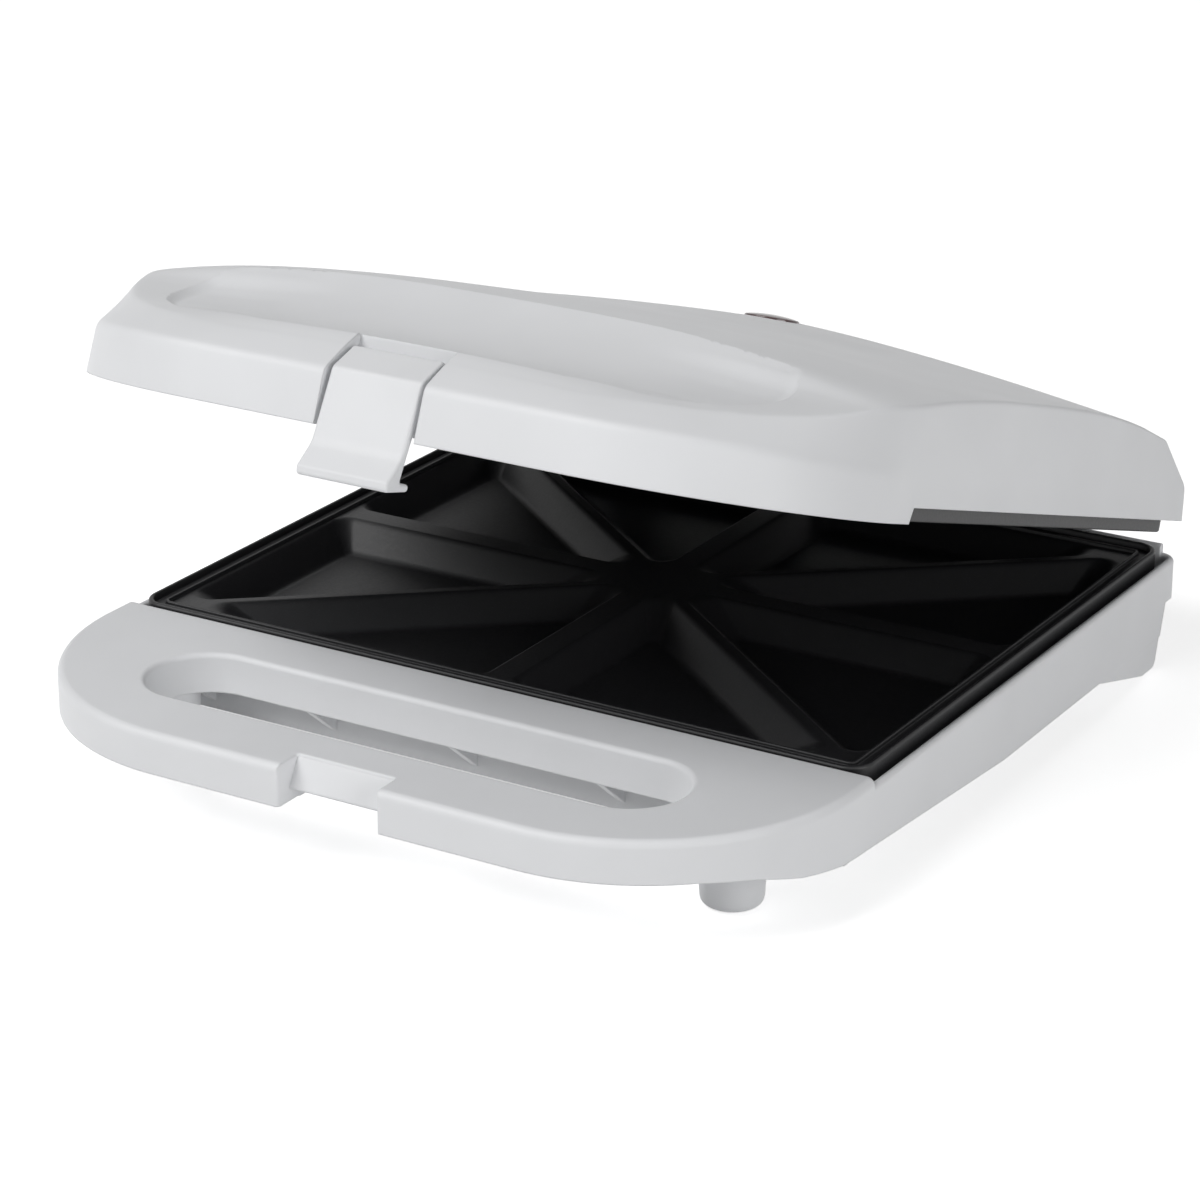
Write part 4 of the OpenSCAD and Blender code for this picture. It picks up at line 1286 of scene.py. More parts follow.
@dataclass
class Lid:
    """The lid's moulding with its handle, dish and latch recess."""

    form: LidForm = field(default_factory=LidForm)
    wall: float = 2.8
    rib_low: float = 10.0
    tall: float = 60.0
    recess_half: float = 17.3
    recess_back: float = -59.6
    bracket_back: float = -57.2
    lens_hole_r: float = 9.9
    chamfer_front: float = 10.2
    side_in: float = 2.6
    foot_soft: float = 2.2
    brow_soft: float = 1.6
    skipped: int = 2  # rings next to the outer crease that its rounding replaces
    snap_part: float = 0.6  # the share of the way to the middle in which rings are snapped to the dish
    snap_reach: float = 0.62
    sharp_angle: float = 22.0

    def wall_top(self, y: np.ndarray) -> np.ndarray:
        """Height of the outer wall's top: the chamfer's foot in front and behind."""
        return np.interp(y, [-77, -60, -30, -4.99, -4.9, 190, 215], [18, 17.6, 16.2, 15.4, 13.4, 13.4, 18])

    def top_rings(self, outline: LidOutline, inset: float, drop: float, steps: np.ndarray) -> list:
        """Rings over the lid's top.

        Args:
            outline: The outline's points.
            inset: How far inside the outer crease the first ring runs.
            drop: How far below the outer skin the rings run.
            steps: Places from the crease to the middle.

        Returns:
            The rings from the crease inwards.
        """
        f = self.form
        crease = outline.ring(f.half_w - self.side_in - inset, self.chamfer_front - f.reach + inset,
                              f.rear - 22 - inset * 0.7, f.corner_r + 5 - inset, max(1.0, 5 - inset))
        rings = []
        for t in steps:
            flat = outline.shrink(crease, t)
            if drop == 0 and 0 < t < self.snap_part:
                flat = self.snapped(flat)
            rings.append(np.column_stack([flat, f.top(flat[:, 0], flat[:, 1]) - drop]))
        return rings

    def snapped(self, flat: np.ndarray) -> np.ndarray:
        """Move the points near the dish's crease onto it.

        Args:
            flat: The x and y of the points.

        Returns:
            The x and y of the points, moved or not.
        """
        x, y = flat[:, 0].copy(), flat[:, 1].copy()
        gap = self.form.gap
        for _ in range(4):
            g = gap(x, y)
            gx, gy = slopes(gap, x, y, 0.02)
            slope = np.maximum(gx * gx + gy * gy, 1e-4)
            dx, dy = -g * gx / slope, -g * gy / slope
            near = (np.hypot(x + dx - flat[:, 0], y + dy - flat[:, 1]) < self.snap_reach) & (y < 6)
            x, y = np.where(near, x + dx, x), np.where(near, y + dy, y)
        return np.stack([x, y], 1)

    def envelope(self, outline: LidOutline) -> bpy.types.Object:
        """The lid's outer form.

        Args:
            outline: The lid's outline.

        Returns:
            The solid.
        """
        f = self.form
        steps = np.concatenate([np.linspace(0, 0.5, 62, endpoint=False), np.linspace(0.5, 0.985, 30)])
        top, skipped = self.top_rings(outline, 0, 0, steps), self.skipped
        walls = []
        for side, front, rear, r, height in ((0.9, 1, 0.5, 1, self.wall_top), (0.0, 0, 0, 0, f.low)):
            flat = outline.ring(f.half_w - side, front - f.reach, f.rear - rear, f.corner_r - r, 6)
            walls.append(np.column_stack([flat, height(flat[:, 1])]))
        rings = top[:skipped - 1:-1]
        rings += rounded_crease(top[skipped], top[0], walls[0], self.brow_soft)[1:]
        rings += rounded_crease(top[0], walls[0], walls[1], self.foot_soft)
        rings.append(walls[1])
        foot, low_z = walls[1], 4.0
        rings.append(np.column_stack([outline.shrink(foot[:, :2], 0.06), foot[:, 2]]))
        rings.append(np.column_stack([outline.shrink(foot[:, :2], 0.9), np.full(len(foot), low_z)]))
        return draped("lid_moulding", rings, f.summit(), low_z)

    def cavity(self, outline: LidOutline) -> bpy.types.Object:
        """The room inside the lid, less what stands in it.

        Args:
            outline: The lid's outline.

        Returns:
            The solid.
        """
        f, w = self.form, self.wall
        steps = np.concatenate([np.linspace(0, 0.5, 26, endpoint=False), np.linspace(0.5, 0.96, 12)])
        rings = self.top_rings(outline, 3, w, steps)[::-1]
        low_z = -30.0
        for side, front, rear, z in ((w + 0.9, w + 1, w + 0.5, None), (w, w, w, 0.0), (w, w, w, low_z)):
            flat = outline.ring(f.half_w - side, front - f.reach, f.rear - rear, f.corner_r - front, 3.2)
            height = self.wall_top(flat[:, 1]) - 1.4 if z is None else np.full(len(flat), z)
            rings.append(np.column_stack([flat, height]))
        room = draped("room", rings, f.summit(w), low_z)
        high, b = self.tall, self.recess_half + 2.5
        stands = [((-b, -90, 2), (b, self.bracket_back, high)),
                  ((3.8 - f.half_w, -4, 8), (f.half_w - 3.8, -1.8, high))]
        for side in SIDES:
            for x, y0 in ((34, -64), (64, -63), (98, -50)):
                stands.append(((side * x - 1, y0, self.rib_low), (side * x + 1, -3, high)))
            x0, x1 = span(side, 128, 134)
            stands += [((x0, y - 1, 14), (x1, y + 1, high)) for y in (60, 150)]
        for low, far in stands:
            cut(room, block("stand", low, far, True))
        return room

    def build(self) -> bpy.types.Object:
        """Build the lid's moulding.

        Returns:
            The finished piece.
        """
        outline, half = LidOutline(self.form), self.recess_half
        made = self.envelope(outline)
        cut(made, self.cavity(outline))
        cut(made, block("recess", (-half, -90, -5), (half, self.recess_back, self.tall), True))
        cut(made, post("lens_hole", self.lens_hole_r, SPOTS.lens[:2], 30, self.tall, opened=True))
        for x in SPOTS.knuckle_screws:
            for side in SIDES:
                cut(made, lathe("screw_hole", [(1.6, 0), (1.6, 15)], (side * x, 215, SPOTS.knuckle_screw_z), True,
                                24, Axis.Y))
        rename(made, "lid_moulding")
        self.shade(made)
        return made

    def shade(self, made: bpy.types.Object) -> None:
        """Give the lid's top the exact normals of its form, and every other face plain smooth ones.

        Args:
            made: The lid's moulding.
        """
        soften(made, self.sharp_angle)
        mesh = made.data
        back = np.array(FRAME.matrix(True).inverted())
        co = np.empty(len(mesh.vertices) * 3)
        mesh.vertices.foreach_get("co", co)
        co = co.reshape(-1, 3) @ back[:3, :3].T + back[:3, 3]
        corner_vert = np.empty(len(mesh.loops), int)
        mesh.loops.foreach_get("vertex_index", corner_vert)
        normals = np.empty(len(mesh.loops) * 3)
        mesh.corner_normals.foreach_get("vector", normals)
        normals = normals.reshape(-1, 3)
        x, y, z = co[corner_vert].T
        on_top = np.abs(self.form.top(x, y) - z) < 0.03
        counts = np.array([p.loop_total for p in mesh.polygons])
        owner = np.repeat(np.arange(len(counts)), counts)
        inside = np.zeros(len(counts))
        np.add.at(inside, owner, on_top)
        whole = (inside == counts)[owner]
        mid = np.zeros((len(counts), 2))
        np.add.at(mid, owner, np.stack([x, y], 1))
        mid /= counts[:, None]
        in_dish = (self.form.gap(mid[:, 0], mid[:, 1]) > 0)[owner]
        exact = self.form.normals(x, y, in_dish)
        turn = np.array(FRAME.matrix(True))[:3, :3] / MM
        mesh.normals_split_custom_set(np.where(whole[:, None], exact @ turn.T, normals))


# ---------------------------------------------------------------- cooking plates


@dataclass
class CookingPlate:
    """One cooking plate: a rim, a sealing ridge and eight tapered three-cornered pockets."""

    opened: bool
    half_w: float = 132.0
    depth: float = 218.0
    corner_r: float = 8.0
    rim_top: float = 1.0
    land_z: float = -1.2
    skirt_z: float = -6.2
    pocket_depth: float = 9.5
    rim_r: float = 0.9
    ridge_r: float = 0.6
    boss_z: float = -21.4
    clamp_z: float = -19.9

    def tray(self) -> bpy.types.Object:
        """Make the plate without its pockets: skirt, rounded rim, channel and ridge.

        Returns:
            The solid.
        """
        t, g, r, ridge = self.rim_top, self.land_z, self.rim_r, self.ridge_r
        levels = [(-2.2, g - 2.6), (-2.2, self.skirt_z), (-0.4, self.skirt_z), (0, self.skirt_z + 0.4)]
        levels += arc((-r, t - r), r, 0, 180, 13)
        levels += [(-2.0, g + 0.5), (-2.25, g + 0.12), (-2.7, g), (-5.1, g), (-5.4, g + 0.15), (-5.5, g + 0.5)]
        levels += [*arc((-6.1, t - 0.9 - ridge), ridge, 0, 180, 9), (-6.75, g + 0.3), (-7.0, g)]
        plan = rectangle(self.half_w, 0, self.depth, self.corner_r, steps=14)
        return plan.stack("plate", levels)

    def triangles(self) -> list:
        """Lay out the pockets.

        Returns:
            The plan corners of every pocket's top edge, counter-clockwise.
        """
        ox, oy = self.half_w - 7.5, self.depth / 2 - 7.5
        found = []
        for half in ([(8.4, 5), (ox, 5), (ox, oy - 2.8)], [(5, 7.8), (ox - 3.4, oy), (5, oy)]):
            for sx in SIDES[::-1]:
                for sy in SIDES[::-1]:
                    corners = [(sx * x, self.depth / 2 + sy * y) for x, y in half]
                    found.append(corners if sx * sy > 0 else corners[::-1])
        return found

    @staticmethod
    def moved_in(corners: list, d: float) -> list:
        """Shrink a triangle towards the middle of its inscribed circle.

        Args:
            corners: Its corners.
            d: How far every side moves inwards.

        Returns:
            The corners of the smaller triangle.
        """
        p = np.array(corners, float)
        a, b, c = (np.linalg.norm(p[1] - p[2]), np.linalg.norm(p[2] - p[0]), np.linalg.norm(p[0] - p[1]))
        middle = (a * p[0] + b * p[1] + c * p[2]) / (a + b + c)
        u, v = p[1] - p[0], p[2] - p[0]
        r = abs(u[0] * v[1] - u[1] * v[0]) / (a + b + c)
        return [tuple(middle + (q - middle) * (1 - d / r)) for q in p]

    def pocket(self, corners: list, levels: list) -> bpy.types.Object:
        """A tapered three-cornered solid with rounded corners.

        Args:
            corners: Plan corners of the pocket's top edge.
            levels: Triples of distance inside the corners' triangle, height and corner radius.

        Returns:
            The solid.
        """
        rings = []
        for d, z, r in levels:
            flat = Plan(self.moved_in(corners, d), [r] * 3, 12).ring()
            rings.append(np.column_stack([flat, np.full(len(flat), z)]))
        return new_object("pocket", *skin(rings))

    def build(self, name: str) -> bpy.types.Object:
        """Build the plate.

        Args:
            name: Name of the piece.

        Returns:
            The finished piece.
        """
        made = self.tray()
        g, low = self.land_z, self.land_z - self.pocket_depth
        under = [(7.2, low - 2.3, 3), (5.6, low - 2.0, 4), (-2.0, g - 1.6, 6)]
        inside = [(10.4, low, 1.5), (9.3, low + 0.1, 2), (8.3, low + 0.5, 2.6), (7.4, low + 1.3, 3),
                  (1.2, g - 1.55, 5.6), (0.6, g - 0.95, 6), (0.1, g - 0.5, 6), (-0.35, g - 0.2, 6),
                  (-0.9, g, 6), (-1.0, g + 3, 6)]
        for corners in self.triangles():
            weld(made, self.pocket(corners, under))
        for spot in SPOTS.plate_screws:
            weld(made, post("boss", 4, spot, self.boss_z, g - 1.5, 40))
        for spot in SPOTS.clamp_screws:
            weld(made, post("boss", 3.2, spot, self.clamp_z, g - 5, 32))
        weld(made, post("sensor_seat", 8.5, (0, self.depth / 2), -13.6, g - 1.5, 64))
        for corners in self.triangles():
            cut(made, self.pocket(corners, inside))
        for spot in SPOTS.plate_screws:
            cut(made, post("bore", 1.55, spot, -30, -9, 24))
        for spot in SPOTS.clamp_screws:
            cut(made, post("bore", 1.25, spot, -30, -16, 24))
        if self.opened:
            flip = Matrix.Translation((0, 0, 2 * FRAME.mirror_z)) @ Matrix.Diagonal((1, 1, -1, 1))
            made.data.transform(FRAME.matrix(True) @ flip @ FRAME.matrix(False).inverted())
            made.data.flip_normals()
        rename(made, name)
        finish_normals(made, 40)
        return made


# ---------------------------------------------------------------- latch, lens, hinge and small mouldings


@dataclass
class LatchClip:
    """The latch: a bent plate with a rolled lip in front and a hook behind, turning on its pin."""

    half: float = 15.8
    rim: float = 0.9
    pin: tuple = (-66.5, 19.5)
    bore_r: float = 1.55
    barrel_r: float = 3.1
    bends: tuple = (
        ((-64.6, 25.9), 1.3), ((-74.6, 19.0), 2.6), ((-79.3, -3.2), 9.0), ((-84.9, -10.2), 1.1),
        ((-84.6, -13.0), 1.3), ((-73.3, -12.5), 1.05), ((-73.2, -10.3), 1.0), ((-78.2, -10.1), 0.9),
        ((-71.9, 15.9), 1.6), ((-62.8, 23.4), 1.3))

    def build(self) -> bpy.types.Object:
        """Build the latch.

        Returns:
            The finished piece.
        """
        corners, radii = zip(*self.bends)
        h, rim = self.half, arc((-self.rim, self.rim - self.half), self.rim, -90, 0, 5)
        levels = rim + [(out, -x) for out, x in rim[::-1]]
        made = Plan(corners, radii, 8).stack("latch_clip", levels, True, axis=Axis.X)
        weld(made, lathe("barrel", knob(self.barrel_r, 2 * h), (-h, *self.pin), True, 48, Axis.X))
        bore = [(self.bore_r, 0), (self.bore_r, 2 * h + 4)]
        cut(made, lathe("bore", bore, (-h - 2, *self.pin), True, 40, Axis.X))
        rename(made, "latch_moulding")
        finish_normals(made)
        return made


@dataclass
class IndicatorLens:
    """The round lens over the two lamps: a low dome on a thin flange."""

    dome_r: float = 8.8
    dome_h: float = 0.87

    def build(self) -> bpy.types.Object:
        """Build the lens.

        Returns:
            The finished piece.
        """
        profile = [(8.2, -4.6), (9.3, -4.6), (9.5, -4.3), (9.5, 0.05), (9.4, 0.35), (9.1, 0.55)]
        for part in np.linspace(1, 0, 14):
            profile.append((self.dome_r * part, 0.6 + self.dome_h * (1 - part**2) ** 0.85))
        made = lathe("lens_dome", profile, SPOTS.lens, True, 96)
        finish_normals(made)
        return made


@dataclass
class HingeKnuckles:
    """The lid's two hinge knuckles, between the housing's lugs."""

    reach: tuple = (70.4, 91.6)
    lid_rear: float = 224.0

    def build(self) -> bpy.types.Object:
        """Build both knuckles.

        Returns:
            The finished piece.
        """
        y, z, r = FRAME.hinge_y, FRAME.hinge_z, FRAME.barrel_r
        rear = self.lid_rear
        outline = [(rear + 0.15, 1), (y - 0.6, z - 2), (y + r, z), (y + r, z + FRAME.knuckle_high),
                   (rear + 4.2, 16.4), (rear + 2.6, 18.6), (rear + 1.4, 19.6), (rear + 0.15, 19.6)]
        pieces = []
        for side in SIDES:
            x0, x1 = span(side, *self.reach)
            made = side_profile("hinge_knuckle", outline, x0, x1, True)
            round_rims(made, 0.6)
            weld(made, lathe("eye", knob(r, x1 - x0), (x0, y, z), True, axis=Axis.X))
            cut(made, lathe("bore", [(2.06, 0), (2.06, x1 - x0 + 2)], (x0 - 1, y, z), True, 48, Axis.X))
            for x in SPOTS.knuckle_screws:
                cut(made, lathe("bore", [(1.3, 0), (1.3, 8.5)], (side * x, 220, SPOTS.knuckle_screw_z), True, 24,
                                Axis.Y))
            pieces.append(made)
        made = joined("hinge_knuckle_pair", pieces)
        finish_normals(made)
        return made


@dataclass
class SmallMouldings:
    """The service cover, the inlet's bushing and the foot pads, made to fit the lower housing.

    They take their sizes from the housing they are given.
    """

    base: BaseHousing
    fit_gap: float = 0.3  # all round the cover and the rear pads

    def cover(self) -> bpy.types.Object:
        """Make the cover over the mains terminals, flush with the pan's underside.

        Returns:
            The finished piece.
        """
        y, z, floor_z = SPOTS.cover_y, self.base.pan_z, self.base.floor_z
        levels = [(-0.5, z), (-0.15, z + 0.15), (0, z + 0.5), (0, z + 1.1)]
        half, deep, r = (size - self.fit_gap for size in self.base.cover_seat)
        made = rectangle(half, y - deep, y + deep, r).stack("cover_plate", levels)
        for y0, y1, top in ((y - 7.6, y - 6.4, floor_z + 0.6), (y + 6.4, y + 7.6, floor_z - 0.1)):
            weld(made, block("rib", (-21, y0, z + 0.3), (21, y1, top)))
        for spot in SPOTS.cover_screws:
            cut(made, lathe("bore", [(3.0, z), (1.7, z + 0.7), (1.7, -25)], (*spot, 0), sides=32))
        finish_normals(made)
        return made

    def bushing(self) -> bpy.types.Object:
        """Make the bushing that lines the inlet's bore, with a ringed nose.

        Returns:
            The finished piece.
        """
        profile = [(6.6, 0), (7.0, 0.4), (7.0, 2.5), (5.9, 2.5), (5.9, 5.7), (7.3, 5.7), (7.6, 6.0), (7.6, 7.4),
                   (7.2, 7.8), (5.4, 8.4), (5.0, 9.9)]
        for k in range(3):
            at, r = 10.6 + 2.2 * k, 5.1 - 0.1 * k
            profile += [(4.5, at), (4.5, at + 0.8), (r, at + 1.3), (r - 0.1, at + 1.9)]
        profile.append((4.4, 16.6))
        made = lathe("bushing_sleeve", profile, (0, 216.4, SPOTS.inlet_z), sides=64, axis=Axis.Y)
        cut(made, lathe("bore", [(3.5, 0), (3.5, 30)], (0, 210, SPOTS.inlet_z), sides=48, axis=Axis.Y))
        finish_normals(made)
        return made

    def pads(self) -> bpy.types.Object:
        """Make the pads under the front feet and the rear blocks.

        Returns:
            The finished piece.
        """
        pieces = []
        for side in SIDES:
            x, y = self.base.foot
            profile = [(6.3, 0), (6.65, 0.15), (6.8, 0.5), (6.8, 1.5)]
            pieces.append(lathe("pad", profile, (side * x, y, -FRAME.stand_h), sides=64))
            across, along = ((a + self.fit_gap, b - self.fit_gap) for a, b in self.base.pad_pocket)
            (x0, x1), (y0, y1) = span(side, *across), along
            plan = Plan([(x0, y0), (x1, y0), (x1, y1), (x0, y1)], [0.5] * 4, 3)
            levels = [(out, z - FRAME.stand_h) for out, z in ((-0.4, 0), (0, 0.4), (0, 1.5))]
            pieces.append(plan.stack("pad", levels))
        made = joined("foot_pad_set", pieces)
        finish_normals(made)
        return made


# ---------------------------------------------------------------- what repeats or follows a path


class ShapeTree:
    """A Geometry Nodes tree and one way to run it."""

    def __init__(self, name: str, inputs: dict) -> None:
        """Start a tree with a geometry input and output.

        Args:
            name: Name of the tree.
            inputs: Socket type of each further input, by name.
        """
        self.tree = bpy.data.node_groups.new(name, "GeometryNodeTree")
        face = self.tree.interface
        self.keys = {}
        for key, kind in {"Geometry": "Geometry", **inputs, "Material": "Material"}.items():
            self.keys[key] = face.new_socket(name=key, in_out="INPUT", socket_type=f"NodeSocket{kind}").identifier
        face.new_socket(name="Geometry", in_out="OUTPUT", socket_type="NodeSocketGeometry")
        self.size = self.add("NodeGroupInput").outputs

    def add(self, kind: str, settings: dict | str | None = None, *values: object,
            **inputs: object) -> bpy.types.Node:
        """Add a node to the tree, as add_node does."""
        return add_node(self.tree, kind, settings, *values, **inputs)

    def end(self, shape: bpy.types.Node) -> None:
        """Close the tree: realise what is instanced, shade it and set its material.

        Args:
            shape: The node that gives the shape.
        """
        real = self.add("GeometryNodeRealizeInstances", None, shape)
        smooth = self.add("GeometryNodeSetShadeSmooth", None, real)
        dressed = self.add("GeometryNodeSetMaterial", Geometry=smooth, Material=self.size["Material"])
        self.add("NodeGroupOutput", None, dressed)

    def run(self, name: str, points: list, edges: list, finish: Finish, opened: bool = False,
            axis: tuple | None = None, **sizes: float) -> bpy.types.Object:
        """Run the tree on a set of points.

        Args:
            name: Name of the piece.
            points: Points in drawing millimetres.
            edges: Pairs of point numbers, for a path.
            finish: The piece's finish.
            opened: True for pieces of the lid.
            axis: Direction of the instances in the drawing frame.
            sizes: Values of the tree's inputs, by name with _ for a space; lengths in millimetres.

        Returns:
            The piece as plain mesh.
        """
        mesh = bpy.data.meshes.new(name)
        mesh.from_pydata([tuple(p) for p in points], edges, [])
        mesh.transform(FRAME.matrix(opened))
        if axis is not None:
            turned = FRAME.matrix(opened).to_3x3().normalized() @ Vector(axis)
            store = mesh.attributes.new("axis", "FLOAT_VECTOR", "POINT")
            store.data.foreach_set("vector", [*turned] * len(points))
        made = linked(name, mesh)
        step = made.modifiers.new("shape", "NODES")
        step.node_group = self.tree
        step[self.keys["Material"]] = finish.material
        for key, value in sizes.items():
            step[self.keys[key.replace("_", " ")]] = value if isinstance(value, int) else value * MM
        bake_modifiers(made)
        made.data.name = name
        return made


def screw_tree() -> ShapeTree:
    """Build the tree of the pan-headed cross-recess screws, one at every point along the point's axis.

    The head is a dome with two crossed slots and the thread is drawn as rings.

    Returns:
        The tree.
    """
    sizes = ("Head Radius", "Head Height", "Shank Radius", "Shank Length", "Pitch", "Recess Width")
    t = ShapeTree("pan_head_screws", {**dict.fromkeys(sizes, "Float"), "Sides": "Int"})
    head_r, head_h, shank_r, shank_l, pitch, recess = (t.size[key] for key in sizes)
    sum_of, xyz, swept = "ShaderNodeMath", "ShaderNodeCombineXYZ", "GeometryNodeCurveToMesh"
    straight, fine = "GeometryNodeCurvePrimitiveLine", "GeometryNodeResampleCurve"
    circle = t.add("GeometryNodeCurvePrimitiveCircle", Resolution=t.size["Sides"], Radius=1.0)
    along = t.add("GeometryNodeSplineParameter")

    line = t.add(straight, End=t.add(xyz, Z=t.add(sum_of, "MULTIPLY", head_h, -1.0)))
    fall = t.add(sum_of, "MULTIPLY", t.add(sum_of, "POWER", along, 3.0), 0.55)
    dome = t.add(sum_of, "SQRT", t.add(sum_of, "SUBTRACT", 1.0, fall))
    head = t.add(swept, Curve=t.add(fine, Curve=line, Count=9), Profile_Curve=circle, Fill_Caps=True,
                 Scale=t.add(sum_of, "MULTIPLY", dome, head_r))
    long = t.add(sum_of, "MULTIPLY", head_r, 1.15)
    sunk = t.add(xyz, Z=t.add(sum_of, "MULTIPLY", head_h, -1.08))
    arms = [t.add("GeometryNodeTransform", Translation=sunk,
                  Geometry=t.add("GeometryNodeMeshCube", Size=t.add(xyz, None, x, y, head_h)))
            for x, y in ((long, recess), (recess, long))]
    cross = t.add("GeometryNodeMeshBoolean", {"operation": "DIFFERENCE", "solver": "MANIFOLD"}, Mesh_1=head,
                  Mesh_2=arms)

    turns = t.add(sum_of, "DIVIDE", shank_l, pitch)
    rings = t.add(sum_of, "ADD", t.add(sum_of, "MULTIPLY", turns, 4.0), 1.0)
    line = t.add(straight, End=t.add(xyz, Z=shank_l))
    ridge = t.add(sum_of, "PINGPONG", t.add(sum_of, "MULTIPLY", along, turns), 0.5)
    thread = t.add(sum_of, "ADD", 0.8, t.add(sum_of, "MULTIPLY", ridge, 0.4))
    tip = t.add(sum_of, "MULTIPLY", t.add(sum_of, "SUBTRACT", 1.12, along), 5.0)
    tapered = t.add(sum_of, "MULTIPLY", thread, t.add(sum_of, "MINIMUM", 1.0, tip))
    shank = t.add(swept, Curve=t.add(fine, Curve=line, Count=rings), Profile_Curve=circle, Fill_Caps=True,
                  Scale=t.add(sum_of, "MULTIPLY", tapered, shank_r))

    axis = t.add("GeometryNodeInputNamedAttribute", {"data_type": "FLOAT_VECTOR"}, Name="axis")
    turned = t.add("FunctionNodeAlignRotationToVector", {"axis": "Z"}, Vector=axis)
    screw = t.add("GeometryNodeJoinGeometry", None, [cross, shank])
    t.end(t.add("GeometryNodeInstanceOnPoints", Points=t.size["Geometry"], Instance=screw, Rotation=turned))
    return t


def tube_tree() -> ShapeTree:
    """Build the tree of the round tubes, one along every path of edges, its corners bent to a radius.

    Returns:
        The tree.
    """
    t = ShapeTree("tube_on_path", {"Radius": "Float", "Bend": "Float", "Sides": "Int"})
    path = t.add("GeometryNodeMeshToCurve", Mesh=t.size["Geometry"])
    bent = t.add("GeometryNodeFilletCurve", {"mode": "POLY"}, Curve=path, Count=10, Radius=t.size["Bend"],
                 Limit_Radius=True)
    circle = t.add("GeometryNodeCurvePrimitiveCircle", Resolution=t.size["Sides"], Radius=1.0)
    t.end(t.add("GeometryNodeCurveToMesh", Curve=bent, Profile_Curve=circle, Fill_Caps=True,
                Scale=t.size["Radius"]))
    return t


@dataclass(frozen=True)
class ScrewSize:
    """Sizes of one kind of screw."""

    head_r: float
    head_h: float
    shank_r: float
    shank_l: float


@dataclass
class Screws:
    """Every screw of the toaster, one mesh for each set."""

    cover: ScrewSize = ScrewSize(2.6, 1.4, 1.15, 4.3)
    lower_plate: ScrewSize = ScrewSize(3.2, 2.0, 1.5, 14.0)
    upper_plate: ScrewSize = ScrewSize(3.0, 1.8, 1.5, 10.0)
    clamp: ScrewSize = ScrewSize(2.4, 1.3, 1.2, 4.2)
    knuckle: ScrewSize = ScrewSize(2.6, 2.4, 1.25, 7.4)
    pitch: float = 1.1
    recess: float = 0.85
    lid_plate_seat: float = -22.0
    strap_t: float = 1.2  # the straps lie under the heads of the upper plate's middle screws
    clamp_seat: float = -20.95
    knuckle_seat: float = 220.5

    def build(self) -> None:
        """Build and dress all the sets."""
        tree = screw_tree()
        up, down, rearward = (0, 0, 1), (0, 0, -1), (0, 1, 0)
        cover = [(*spot, BaseHousing.pan_z) for spot in SPOTS.cover_screws]
        plate = [(*spot, BaseHousing.boss_seat) for spot in SPOTS.plate_screws]
        lid_plate = FRAME.turned_over([(x, y, self.lid_plate_seat - (0 if x else self.strap_t))
                                       for x, y in SPOTS.plate_screws])
        clamps = [(*spot, self.clamp_seat) for spot in SPOTS.clamp_screws]
        knuckles = [(side * x, self.knuckle_seat, SPOTS.knuckle_screw_z)
                    for side in SIDES for x in SPOTS.knuckle_screws]
        for node, points, axis, body, size in (
                ("service_cover_screws", cover, up, Body.BASE, self.cover),
                ("lower_plate_screws", plate, up, Body.BASE, self.lower_plate),
                ("lower_clamp_screws", clamps, up, Body.BASE, self.clamp),
                ("hinge_knuckle_screws", knuckles, rearward, Body.LID, self.knuckle),
                ("upper_plate_screws", lid_plate, down, Body.LID, self.upper_plate),
                ("upper_clamp_screws", FRAME.turned_over(clamps), down, Body.LID, self.clamp)):
            made = tree.run(node.replace("screws", "fasteners"), points, [], Finish.ZINC, body is Body.LID, axis,
                            Head_Radius=size.head_r, Head_Height=size.head_h, Shank_Radius=size.shank_r,
                            Shank_Length=size.shank_l, Pitch=self.pitch, Recess_Width=self.recess, Sides=28)
            soften(made, 35)
            dress(made, Finish.ZINC, body, node)


